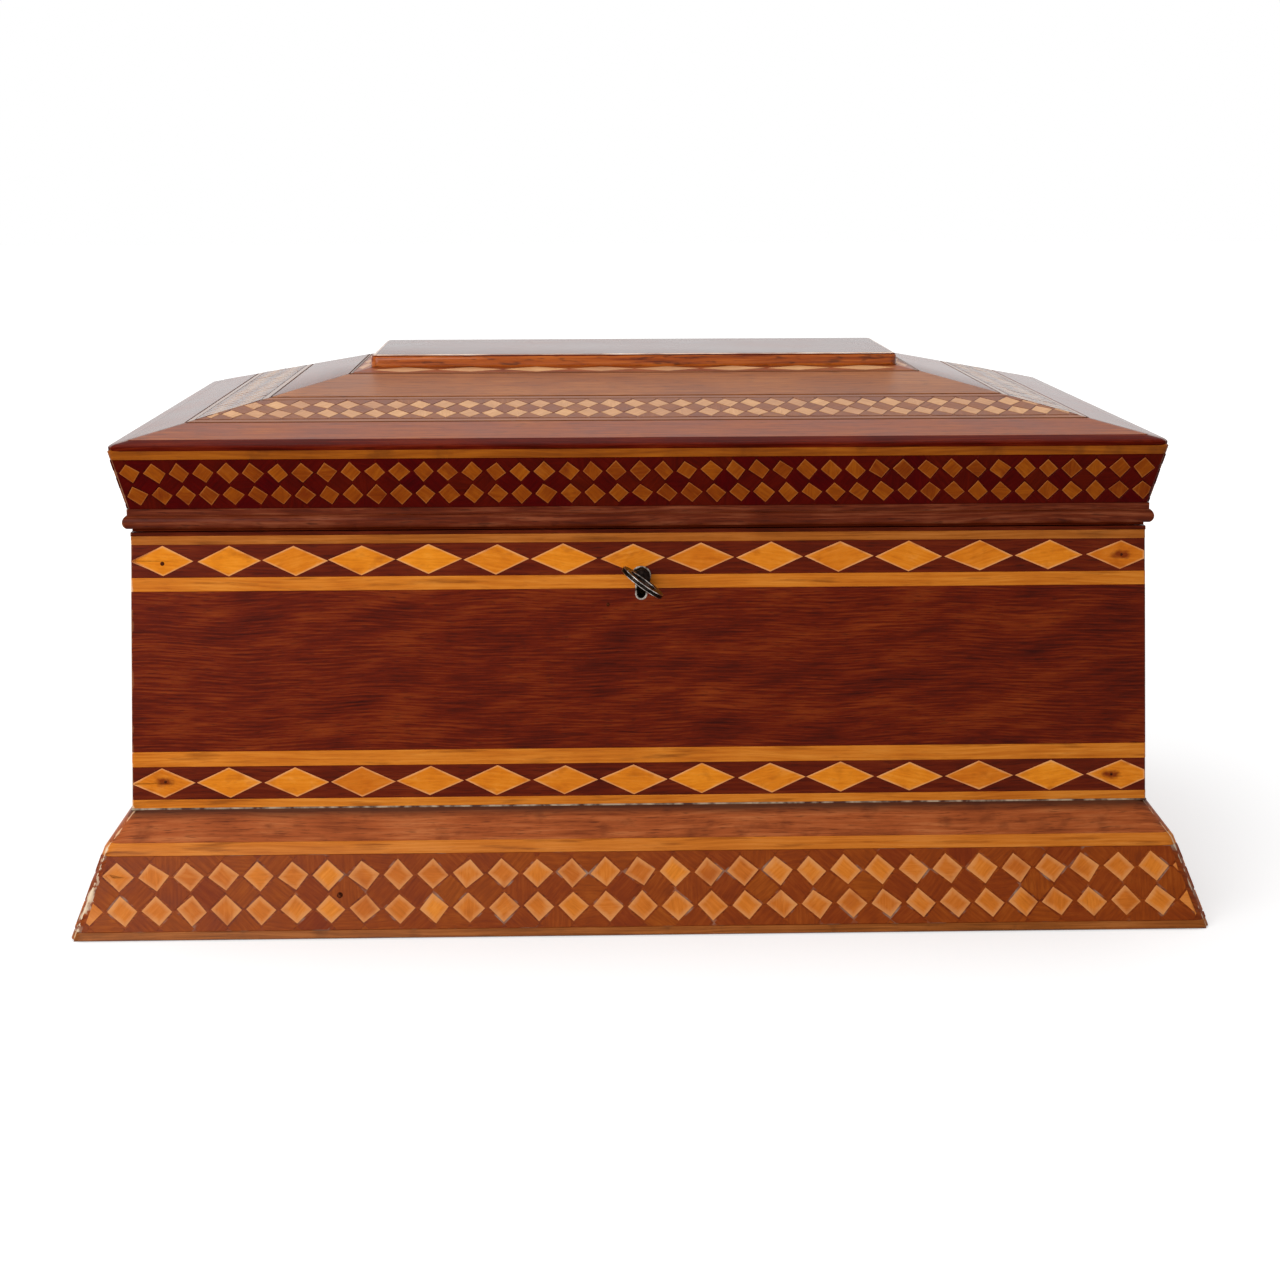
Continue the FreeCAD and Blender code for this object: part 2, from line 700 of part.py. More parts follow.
key_bow = cut("key_bow", bow_disc("key_bow_disc", "key_bow_radius"),
              bow_disc("key_bow_hole", "key_bow_hole_radius"))
key_bore = part_cylinder("key_bore", "drill_pin_radius + running_clearance", pin_front, lock_back, "y", {})
key = cut("key_whole", fuse("key_blank", [key_bow, key_shank, key_collar, key_bit]), key_bore)
key.Placement = FreeCAD.Placement(FreeCAD.Vector(), FreeCAD.Rotation(FreeCAD.Vector(0, -1, 0), 1))
bind(key, "Placement.Rotation.Angle", "key_rest_angle * 1deg")
bind(key, "Placement.Base.z", key_height)
keep("key", key)


# Carcass boards and plinth mouldings
def ring(name, profile, rounds=None, cuts=None):
    """Four mitred pieces round the box, as one group; cuts maps a side to its cutting tools."""
    pieces = []
    for side in side_turns:
        piece = mitred_piece(f"{name}_{side}_strip", side, profile, rounds)
        if cuts and side in cuts:
            piece = cut(f"{name}_{side}_fitted", piece, *cuts[side])
        pieces.append(piece)
    return pieces


def keep_ring(name, *layers):
    keep(name, group(f"{name}_set", [piece for layer in layers for piece in layer]))


core_foot = out_at(wall_face, "plinth_height", "veneer")
wall_profile = [
    (inner_out, "floor_clearance"),
    (core_foot, "floor_clearance"),
    (core_foot, "plinth_height"),
    (out_at(wall_face, veneer_top, "veneer"), veneer_top),
    (inner_out, veneer_top),
]
wall_cuts = {
    "front": (lock_mortise, lock_screws, escutcheon_seat),
    "back": (lower_gains, hinge_screws["lower"]),
}
for side in side_turns:
    wall = mitred_piece(f"wall_{side}_board", side, wall_profile)
    if side in wall_cuts:
        wall = cut(f"wall_{side}_fitted", wall, *wall_cuts[side])
    keep(f"wall_{side}", wall)

half_floor = f"({inner_out} + {mitre_offset})"
keep("bottom_board", part_box("bottom_panel", (f"0 - {half_floor}", f"0 - {inner_out}", "floor_clearance"),
                              (half_floor, inner_out, "floor_clearance + bottom_thickness")))

break_string_foot = "(plinth_break_height - break_string_below)"
break_string_top = "(plinth_break_height + break_string_above)"
bevel_shoulder = height_at(plinth_bevel, core_foot, "veneer")
plinth_profile = [
    (core_foot, "0"),
    (out_at(plinth_splay, "0", "veneer"), "0"),
    (out_at(plinth_splay, break_string_foot, "veneer"), break_string_foot),
    (out_at(plinth_bevel, break_string_top, "veneer"), break_string_top),
    (core_foot, bevel_shoulder),
]
for side in side_turns:
    keep(f"plinth_{side}", mitred_piece(f"plinth_{side}_moulding", side, plinth_profile))

# Lipping, strings and plain veneers of the case
lipping_profile = [
    (inner_out, veneer_top),
    (out_at(wall_face, veneer_top), veneer_top),
    (top_out, "seam_height"),
    (inner_out, "seam_height"),
]
keep_ring("wall_lipping", ring("lipping", lipping_profile,
                               cuts={"front": (lock_mortise,), "back": (lower_gains, hinge_screws["lower"])}))

lower_band_foot = "(plinth_height + lower_outer_string)"
lower_band_top = f"({lower_band_foot} + lower_band)"
field_foot = f"({lower_band_top} + lower_inner_string)"
upper_band_top = f"({veneer_top} - upper_outer_string)"
upper_band_foot = f"({upper_band_top} - upper_band)"
field_top = f"({upper_band_foot} - upper_inner_string)"
keyhole_cut = {"front": (escutcheon_seat,)}

keep_ring("lower_strings",
          ring("lower_outer_string", upright_leaf(wall_face, "plinth_height", lower_band_foot)),
          ring("lower_inner_string", upright_leaf(wall_face, lower_band_top, field_foot)))
keep_ring("upper_strings",
          ring("upper_inner_string", upright_leaf(wall_face, field_top, upper_band_foot), cuts=keyhole_cut),
          ring("upper_outer_string", upright_leaf(wall_face, upper_band_top, veneer_top),
               cuts={"back": (lower_gains,)}))
keep_ring("field_veneers", ring("field", upright_leaf(wall_face, field_foot, field_top), cuts=keyhole_cut))

foot_string_top = "(plinth_veneer_lift + plinth_foot_string)"
break_profile = [
    (out_at(plinth_splay, break_string_foot), break_string_foot),
    (break_out, "plinth_break_height"),
    (out_at(plinth_bevel, break_string_top), break_string_top),
    (out_at(plinth_bevel, break_string_top, "veneer"), break_string_top),
    (out_at(plinth_splay, break_string_foot, "veneer"), break_string_foot),
]
keep_ring("plinth_strings",
          ring("plinth_foot_string", upright_leaf(plinth_splay, "plinth_veneer_lift", foot_string_top)),
          ring("plinth_break_string", break_profile))
bevel_profile = [
    (out_at(plinth_bevel, break_string_top), break_string_top),
    (foot_out, "plinth_height"),
    (core_foot, "plinth_height"),
    (core_foot, bevel_shoulder),
    (out_at(plinth_bevel, break_string_top, "veneer"), break_string_top),
]
keep_ring("plinth_bevels", ring("plinth_bevel", bevel_profile))

# Lid rails, roof boards and raised panel
rail_face = out_at(frieze_face, frieze_foot, "veneer")
rail_profile = [
    (inner_out, lid_foot),
    (rail_face, lid_foot),
    (rail_face, frieze_foot),
    (out_at(frieze_face, roof_seat, "veneer"), roof_seat),
    (inner_out, roof_seat),
]
rail_cuts = {"front": (link_recess, link_screws), "back": (upper_gains, hinge_screws["upper"])}
for side in side_turns:
    rail = mitred_piece(f"lid_rail_{side}_board", side, rail_profile)
    if side in rail_cuts:
        rail = cut(f"lid_rail_{side}_fitted", rail, *rail_cuts[side])
    keep(f"lid_rail_{side}", rail)

arris_inner = f"({arris_out} - arris_band)"
panel_seat = height_at(roof_face, panel_out, "veneer")
roof_end = f"({panel_out} - roof_seat_depth)"
roof_run, roof_gain, roof_slant = facet_terms(roof_face)
underside_meets_seat = (f"({arris_out} + ({roof_seat} + roof_thickness - veneer * {roof_slant} / {roof_run}"
                        f" - {arris_height}) * {roof_run} / {roof_gain})")
roof_profile = [
    (out_at(frieze_face, roof_seat, "veneer"), roof_seat),
    (out_at(frieze_face, arris_foot, "veneer"), arris_foot),
    (arris_inner, height_at(roof_face, arris_inner, "veneer")),
    (panel_out, panel_seat),
    (roof_end, panel_seat),
    (roof_end, f"({height_at(roof_face, roof_end, 'veneer')} - roof_thickness)"),
    (underside_meets_seat, roof_seat),
]
for side in side_turns:
    keep(f"roof_board_{side}", mitred_piece(f"roof_{side}_board", side, roof_profile))

half_panel = f"({panel_out} + {mitre_offset})"
panel = doc.addObject("PartDesign::Body", "panel")
panel_plan = add_sketch(panel, "panel_plan", "XY_Plane")
draw_outline(panel_plan, [(f"(0 - {half_panel})", f"(0 - {panel_out})"), (half_panel, f"(0 - {panel_out})"),
                          (half_panel, panel_out), (f"(0 - {half_panel})", panel_out)])
panel_pad = panel.newObject("PartDesign::Pad", "panel_board")
panel_pad.Profile = panel_plan
bind(panel_pad, "Length", f"{panel_foot} + panel_height - {panel_seat}")
doc.recompute()
top_edges = [
    f"Edge{number}" for number, edge in enumerate(panel_pad.Shape.Edges, start=1)
    if math.isclose(edge.BoundBox.ZMin, panel_pad.Shape.BoundBox.ZMax, abs_tol=1e-6)
]
panel_edge = panel.newObject("PartDesign::Fillet", "panel_edge")
panel_edge.Base = (panel_pad, top_edges)
bind(panel_edge, "Radius", "panel_round")
panel.Tip = panel_edge
bind(panel, "Placement.Base.z", panel_seat)
keep("top_panel", panel)

# Bead, arris, strings and plain veneers of the lid
bead_out = f"({top_out} + bead_step)"
bead_foot = f"({lid_foot} + bead_lift)"
bead_profile = [
    (rail_face, bead_foot),
    (bead_out, bead_foot),
    (bead_out, bead_top),
    (frieze_out, bead_top),
    (frieze_out, frieze_foot),
    (rail_face, frieze_foot),
]
keep_ring("lid_bead", ring("bead", bead_profile, rounds={1: "bead_radius"}, cuts={"back": (knuckle_room,)}))

arris_low = f"({arris_height} - arris_round / 2)"
arris_high_out = f"({arris_out} - arris_round)"
arris_profile = [
    (out_at(frieze_face, arris_foot), arris_foot),
    (out_at(frieze_face, arris_low), arris_low),
    (arris_high_out, height_at(roof_face, arris_high_out)),
    (arris_inner, height_at(roof_face, arris_inner)),
    (arris_inner, height_at(roof_face, arris_inner, "veneer")),
    (out_at(frieze_face, arris_foot, "veneer"), arris_foot),
]
keep_ring("lid_arris", ring("arris", arris_profile, rounds={1: "arris_radius"}))
keep_ring("frieze_string", ring("frieze_line", upright_leaf(frieze_face, frieze_string_foot, arris_foot)))

margin_inner = f"({arris_inner} - roof_margin)"
roof_checker_outer = f"({margin_inner} - roof_string)"
roof_checker_inner = f"({roof_checker_outer} - roof_checker)"
roof_veneer_outer = f"({roof_checker_inner} - roof_string)"
panel_band_outer = f"({panel_out} + panel_band)"
panel_string_outer = f"({panel_band_outer} + panel_string)"
keep_ring("roof_margins", ring("roof_margin_leaf", roof_leaf(arris_inner, margin_inner)))
keep_ring("roof_strings",
          ring("roof_outer_line", roof_leaf(margin_inner, roof_checker_outer)),
          ring("roof_inner_line", roof_leaf(roof_checker_inner, roof_veneer_outer)))
keep_ring("roof_veneers", ring("roof_leaf", roof_leaf(roof_veneer_outer, panel_string_outer)))
keep_ring("panel_strings", ring("panel_line", roof_leaf(panel_string_outer, panel_band_outer)))


# Parquetry: light tiles let into a dark ground strip on each side
class Facet:
    """One side's strip of a facet, with its own directions along the side, up it and out of it."""

    def __init__(self, side, profile):
        self.side = side
        self.offset = side_signs[side] * value(mitre_offset)
        shift = 0.0 if side_signs[side] > 0 else value(mitre_offset)
        self.section = [FreeCAD.Vector(0, value(out) + shift, value(height)) for out, height in profile]
        self.low, self.high = self.section[:2]
        self.up = (self.high - self.low).normalize()
        self.normal = self.up.cross(FreeCAD.Vector(1, 0, 0))
        self.width = (self.high - self.low).Length

    def half_length(self, up):
        return (self.low + self.up * up).y + self.offset

    def strip(self):
        """The whole ground strip, mitred at both ends."""
        ends = [
            [FreeCAD.Vector(sign * (corner.y + self.offset), corner.y, corner.z) for corner in self.section]
            for sign in (1, -1)
        ]
        count = len(self.section)
        outlines = ends + [
            [ends[0][n], ends[0][(n + 1) % count], ends[1][(n + 1) % count], ends[1][n]] for n in range(count)
        ]
        faces = [Part.Face(Part.makePolygon(outline + outline[:1])) for outline in outlines]
        strip = Part.Solid(Part.Shell(faces))
        strip.fix(1e-7, 1e-7, 1e-7)
        return strip

    def tile(self, along, up, half_length, half_height):
        """A lozenge with its points along and across the strip."""
        middle = self.low + self.up * up
        points = [
            middle + FreeCAD.Vector(along + half_length, 0, 0),
            middle + FreeCAD.Vector(along, 0, 0) + self.up * half_height,
            middle + FreeCAD.Vector(along - half_length, 0, 0),
            middle + FreeCAD.Vector(along, 0, 0) - self.up * half_height,
        ]
        face = Part.Face(Part.makePolygon(points + points[:1]))
        return face.extrude(self.normal * -value("veneer"))

    def tile_row(self, up, pitch, half_length, half_height):
        """As many tiles as fit between the mitres, spread about the middle of the side."""
        room = min(self.half_length(up - half_height), self.half_length(up + half_height))
        count = int(2 * (room - half_length - value("square_gap")) / pitch) + 1
        return [
            self.tile((number - (count - 1) / 2) * pitch, up, half_length, half_height)
            for number in range(count)
        ]

    def turned(self, shape):
        return shape.rotated(FreeCAD.Vector(), FreeCAD.Vector(0, 0, 1), side_turns[self.side])


def keep_shape(name, shapes):
    feature = doc.addObject("Part::Feature", f"{name}_set")
    feature.Shape = Part.makeCompound(shapes)
    keep(name, feature)


def inlay(ground_name, tile_name, profile, rows, cutter=None):
    """Ground strips and tiles on all four sides; rows gives each row's height and tile sizes."""
    grounds = []
    tiles = []
    for side in side_turns:
        facet = Facet(side, profile)
        row_tiles = [tile for row in rows(facet.width) for tile in facet.tile_row(*row)]
        ground = facet.turned(facet.strip().cut(Part.makeCompound(row_tiles)))
        row_tiles = [facet.turned(tile) for tile in row_tiles]
        if cutter is not None and side == "front":
            ground = ground.cut(cutter.Shape)
            row_tiles = [tile.cut(cutter.Shape) for tile in row_tiles]
        grounds += ground.Solids
        tiles += [solid for tile in row_tiles for solid in tile.Solids]
    keep_shape(ground_name, grounds)
    keep_shape(tile_name, tiles)


def lozenge_row(margin):
    def rows(width):
        half_height = width / 2 - value(margin)
        return [(width / 2, value("lozenge_pitch"), value("lozenge_length") / 2, half_height)]
    return rows


def checker_rows(pitch, margin):
    def rows(width):
        reach = width / 2 - value(margin)
        half_length = (value(pitch) - value("square_gap")) / 2
        half_height = (reach - value("square_gap")) / 2
        return [(width / 2 + sign * reach / 2, value(pitch), half_length, half_height) for sign in (-1, 1)]
    return rows


doc.recompute()
inlay("upper_band_ground", "upper_lozenges", upright_leaf(wall_face, upper_band_foot, upper_band_top),
      lozenge_row("lozenge_margin"), cutter=escutcheon_seat)
inlay("lower_band_ground", "lower_lozenges", upright_leaf(wall_face, lower_band_foot, lower_band_top),
      lozenge_row("lozenge_margin"))
inlay("plinth_checker_ground", "plinth_checker_squares",
      upright_leaf(plinth_splay, foot_string_top, break_string_foot),
      checker_rows("plinth_square_pitch", "plinth_square_margin"))
inlay("frieze_checker_ground", "frieze_checker_squares",
      upright_leaf(frieze_face, frieze_foot, frieze_string_foot),
      checker_rows("frieze_square_pitch", "frieze_square_margin"))
inlay("roof_checker_ground", "roof_checker_squares", roof_leaf(roof_checker_outer, roof_checker_inner),
      checker_rows("roof_square_pitch", "roof_square_margin"))
inlay("panel_band_ground", "panel_band_lozenges", roof_leaf(panel_band_outer, panel_out),
      lozenge_row("panel_lozenge_margin"))

# Check every object, then write each sub-part
doc.recompute()
for thing in doc.Objects:
    if "Invalid" in thing.State or "Error" in thing.State:
        raise RuntimeError(f"{thing.Name} failed: {thing.State}")
os.makedirs("parts", exist_ok=True)
for name, thing in nodes.items():
    if thing.Shape.isNull() or not thing.Shape.isValid() or not thing.Shape.Solids:
        raise RuntimeError(f"{name} has no valid solid")
    thing.Shape.exportStep(f"parts/{name}.step")
    print(f"{name}: {len(thing.Shape.Solids)} solids, {thing.Shape.Volume:.1f} mm3")
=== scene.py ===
import bpy
import json
import math
import random
from functools import partial
from mathutils import Matrix, Vector


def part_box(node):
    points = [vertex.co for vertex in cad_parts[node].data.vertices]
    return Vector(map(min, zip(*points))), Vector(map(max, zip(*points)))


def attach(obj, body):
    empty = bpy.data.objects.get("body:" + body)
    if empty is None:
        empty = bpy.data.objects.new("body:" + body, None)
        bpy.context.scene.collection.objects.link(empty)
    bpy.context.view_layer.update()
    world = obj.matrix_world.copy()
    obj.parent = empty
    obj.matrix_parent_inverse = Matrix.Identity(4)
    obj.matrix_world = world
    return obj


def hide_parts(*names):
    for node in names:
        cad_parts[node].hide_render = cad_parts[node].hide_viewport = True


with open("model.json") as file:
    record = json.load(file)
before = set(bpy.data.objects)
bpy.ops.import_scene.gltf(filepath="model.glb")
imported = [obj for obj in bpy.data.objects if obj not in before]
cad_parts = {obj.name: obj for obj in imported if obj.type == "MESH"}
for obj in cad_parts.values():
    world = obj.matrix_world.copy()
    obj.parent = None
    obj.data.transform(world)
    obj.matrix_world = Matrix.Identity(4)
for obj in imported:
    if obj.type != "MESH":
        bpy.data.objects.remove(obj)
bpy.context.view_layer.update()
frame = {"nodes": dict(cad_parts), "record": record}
nodes = frame["nodes"]
bodyOf = {node: body for body, held in frame["record"]["behaviour"]["bodies"].items() for node in held}
mm = 0.001
print("frame loaded:", len(nodes), "solids")


# small helpers

def clearSelection():
    bpy.ops.object.select_all(action="DESELECT")


def pick(piece):
    clearSelection()
    bpy.context.view_layer.objects.active = piece
    piece.select_set(True)


def start(name, tool, **settings):
    # a new primitive, alone in the selection
    clearSelection()
    tool(**settings)
    bpy.context.object.name = name
    return bpy.context.object


def editChosen(piece, mode):
    pick(piece)
    bpy.context.tool_settings.mesh_select_mode = [mode == kind for kind in ("VERT", "EDGE", "FACE")]
    bpy.ops.object.mode_set(mode="EDIT")


def editWhole(piece, mode="VERT"):
    editChosen(piece, mode)
    bpy.ops.mesh.select_all(action="SELECT")


def leaveEdit():
    bpy.ops.object.mode_set(mode="OBJECT")


def workFaces(piece, chosen, tool, **settings):
    # one edit tool on the chosen faces
    piece.data.polygons.foreach_set("select", chosen)
    editChosen(piece, "FACE")
    tool(**settings)
    leaveEdit()


def bevelEdges(piece, chosen, width, segments):
    # round the edges whose two ends pass a test
    mesh = piece.data
    for edge in mesh.edges:
        edge.select = chosen(*[mesh.vertices[end].co for end in edge.vertices])
    for part in (mesh.vertices, mesh.polygons):
        part.foreach_set("select", [False] * len(part))
    editChosen(piece, "EDGE")
    bpy.ops.mesh.bevel(offset=width, segments=segments, affect="EDGES")
    leaveEdit()


def applyModifier(piece, kind, **settings):
    bpy.context.view_layer.objects.active = piece
    modifier = piece.modifiers.new(kind.lower(), kind)
    for key, value in settings.items():
        setattr(modifier, key, value)
    bpy.ops.object.modifier_apply(modifier=modifier.name)


def easeEdges(piece, width, segments=1, angle=50, **settings):
    applyModifier(piece, "BEVEL", width=width, segments=segments, limit_method="ANGLE",
                  angle_limit=math.radians(angle), **settings)


def joinPieces(pieces, name):
    pick(pieces[0])
    for piece in pieces:
        piece.select_set(True)
    bpy.ops.object.join()
    pieces[0].name = name
    return pieces[0]


def smoothRounds(piece, angle=38):
    pick(piece)
    bpy.ops.object.shade_smooth_by_angle(angle=math.radians(angle))


def applyPlace(piece, rotation=False):
    pick(piece)
    bpy.ops.object.transform_apply(location=True, rotation=rotation, scale=True)


def dress(piece, *finishes):
    piece.data.materials.clear()
    for finish in finishes:
        piece.data.materials.append(finish)


def seat(piece, node, *finishes):
    # the piece stands for a solid and rides on the same body, and the solid is hidden
    dress(piece, *finishes)
    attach(piece, bodyOf[node])
    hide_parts(node)


# outline of the box, read from the solids: how far out each facet lies and how high

def outerEdge(node):
    edge = {}
    for corner in nodes[node].data.vertices:
        height = round(corner.co.z, 5)
        edge[height] = max(edge.get(height, 0), round(abs(corner.co.y), 5))
    return [(out, height) for height, out in sorted(edge.items())]


def topEdge(node):
    edge = {}
    for corner in nodes[node].data.vertices:
        out = round(abs(corner.co.y), 5)
        edge[out] = max(edge.get(out, 0), round(corner.co.z, 5))
    return sorted(edge.items(), reverse=True)


def between(low, high, height):
    share = (height - low[1]) / (high[1] - low[1])
    return (low[0] + share * (high[0] - low[0]), height)


def band(node, low, high):
    # the two edges of a strip, on the facet from low to high
    return [between(low, high, corner.z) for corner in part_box(node)]


plinthEdge = outerEdge("plinth_strings")
bevelEdge = outerEdge("plinth_bevels")
wallEdge = outerEdge("lower_strings")
friezeEdge = outerEdge("frieze_string")
roofEdge = topEdge("roof_strings")
marginEdge = topEdge("roof_margins")
arrisEdge = [point for point in outerEdge("lid_arris")[::2] if point[0] > marginEdge[0][0] + mm]
arrisEdge.append(marginEdge[0])
wallFoot, wallTop = wallEdge[0], wallEdge[-1]
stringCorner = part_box("lower_strings")[1]
mitre = stringCorner.x - stringCorner.y    # the sides stand this much further out than the front
footPoints = [corner.co for corner in nodes["lower_strings"].data.vertices if corner.co.z < wallFoot[1] + mm]
veneer = wallFoot[0] - min(abs(point.y) for point in footPoints)
lowerBand = band("lower_band_ground", wallFoot, wallTop)
upperBand = band("upper_band_ground", wallFoot, wallTop)
field = band("field_veneers", wallFoot, wallTop)
upperTop = band("upper_strings", wallFoot, wallTop)[1]
plinthBand = band("plinth_checker_ground", *plinthEdge[:2])
friezeBand = band("frieze_checker_ground", *friezeEdge[:2])
roofBand = roofEdge[1:3]
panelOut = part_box("top_panel")[1].y
panelShare = (panelOut - roofEdge[0][0]) / (roofEdge[-1][0] - roofEdge[0][0])
panelBand = [topEdge("panel_strings")[1],
             (panelOut, roofEdge[0][1] + panelShare * (roofEdge[-1][1] - roofEdge[0][1]))]
print("outline read: mitre", round(mitre / mm, 2), "veneer", round(veneer / mm, 2))


# iron nails in the front: the strip, the place along it, the share of its height, the radius of the head, and
# whether the wood round it is stained
nails = {
    "plinth": (plinthBand, -90.2 * mm, 0.46, 1.2 * mm, False),
    "keyhole": (field, -9.9 * mm, 0.9, 0.6 * mm, False),
    "upperLeft": (upperBand, -141.0 * mm, 0.43, 0.75 * mm, False),
    "upperRight": (upperBand, 143.0 * mm, 0.5, 0.45 * mm, True),
    "lowerLeft": (lowerBand, -142.5 * mm, 0.55, 0.45 * mm, True),
    "lowerRight": (lowerBand, 142.0 * mm, 0.5, 0.45 * mm, True),
}
nailBloom = {"squeeze": (0.5, 1.0, 1.0), "farthest": 1.0, "fray": 1.2 * mm, "ragged": 2.0 * mm,
             "reach": (1.7 * mm, 2.7 * mm), "colour": "#6A1E02"}


# finishes

def hexColour(text):
    parts = [int(text[n:n + 2], 16) / 255 for n in (1, 3, 5)]
    return tuple(c / 12.92 if c <= 0.04045 else ((c + 0.055) / 1.055) ** 2.4 for c in parts) + (1.0,)


def addNode(tree, kind, inputs=(), **settings):
    # inputs go in by order, or by number or name; a node that is given stands for its first output
    node = tree.nodes.new("ShaderNode" + kind)
    for key, value in settings.items():
        setattr(node, key, value)
    for socket, value in inputs.items() if isinstance(inputs, dict) else enumerate(inputs):
        if isinstance(value, bpy.types.Node):
            value = value.outputs[0]
        if isinstance(value, bpy.types.NodeSocket):
            tree.links.new(value, node.inputs[socket])
        else:
            node.inputs[socket].default_value = value
    return node


def newFinish(name):
    finish = bpy.data.materials.new(name)
    finish.use_nodes = True
    finish.node_tree.nodes.clear()
    add = partial(addNode, finish.node_tree)
    return finish, add, add("TexCoord").outputs["Object"]


def pastMitre(add, xyz):
    # how far out a point lies both ways, and by how much more to the side than to the front
    wide = add("Math", (xyz["X"],), operation="ABSOLUTE")
    deep = add("Math", (xyz["Y"],), operation="ABSOLUTE")
    return wide, deep, add("Math", (wide, deep), operation="SUBTRACT")


def grainPlace(add, way, spot):
    # millimetres along the grain, across it and through it, for the three ways that the wood lies
    if way == "tile":
        whole = add("UVMap", uv_map="tileGrain")
    elif way == "board":
        whole = spot
    else:
        # round the box the grain follows each side and turns at the mitres
        xyz = add("SeparateXYZ", (spot,)).outputs
        wide, deep, beyond = pastMitre(add, xyz)
        onEnd = add("Math", (beyond, mitre), operation="GREATER_THAN")
        along = add("Mix", {0: onEnd, 2: xyz["X"], 3: xyz["Y"]})
        endOut = add("Math", (wide, mitre), operation="SUBTRACT")
        out = add("Mix", {0: onEnd, 2: deep, 3: endOut})
        across = add("Math", (xyz["Z"], out), operation="SUBTRACT")
        facing = add("Mix", {0: onEnd, 2: xyz["Y"], 3: xyz["X"]})
        hand = add("Math", (facing, 0.0), operation="GREATER_THAN")
        leaf = add("Math", (onEnd, 0.5, hand), operation="MULTIPLY_ADD")
        whole = add("CombineXYZ", (along, across, leaf))
    return add("VectorMath", {0: whole, "Scale": 1 / mm}, operation="SCALE")


# what age has done to every wood, and the painted shade at the wall's foot: noise levels between which each
# mark comes in, and its size
ageing = {
    "pore": (0.56, 0.70), "stain": (0.56, 0.72), "toneHue": (0.494, 0.505),
    "rim": (0.75, 1.7), "rimRagged": 1.2, "rimMost": 0.9,
    # painted shade under the wall's foot: its colour, raggedness and reach
    "paintedFootShadeColour": "#2E140A", "paintedFootShadeRagged": 1.6 * mm, "paintedFootShadeReach": (2.4 * mm, 0.1 * mm),
    "wearPatch": 3.5 * mm, "wear": (0.42, 0.68), "wearRight": 0.3,
    "mottle": (0.3, 0.7), "duller": 0.06, "rougher": 0.08, "poreDepth": 0.05 * mm,
}


def cornerWear(add, spot, reach):
    # 1 at the box's upright corners and hips, fading to 0 over a ragged width that is narrower on the right
    xyz = add("SeparateXYZ", (spot,)).outputs
    offCorner = add("Math", (pastMitre(add, xyz)[2], mitre), operation="SUBTRACT")
    distance = add("Math", (offCorner,), operation="ABSOLUTE")
    ragged = add("TexNoise", {"Vector": spot, "Scale": 1 / ageing["wearPatch"], "Detail": 4.0})
    widest = add("MapRange", (xyz["X"], -mitre, mitre, reach, ageing["wearRight"] * reach))
    limit = add("MapRange", (ragged, *ageing["wear"], 0.0, widest))
    return add("MapRange", (distance, limit, 0.0, 0.0, 1.0))


def nailStain(add, spot, most):
    # rust and dirt drawn into the wood round the nails, further along the grain than across it
    squeeze = Vector(nailBloom["squeeze"])
    squeezed = add("VectorMath", (spot, squeeze), operation="MULTIPLY")
    nearest = nailBloom["farthest"]
    for (low, high), along, share, radius, stained in nails.values():
        if stained:
            out, height = between(low, high, low[1] + share * (high[1] - low[1]))
            head = Vector((along, -out, height)) * squeeze
            away = add("VectorMath", (squeezed, head), operation="DISTANCE").outputs["Value"]
            nearest = add("Math", (nearest, away), operation="MINIMUM")
    frayed = add("TexNoise", {"Vector": squeezed, "Scale": 1 / nailBloom["fray"], "Detail": 3.0})
    edge = add("Math", (frayed, nailBloom["ragged"], nearest), operation="MULTIPLY_ADD")
    return add("MapRange", (edge, *nailBloom["reach"], most, 0.0))


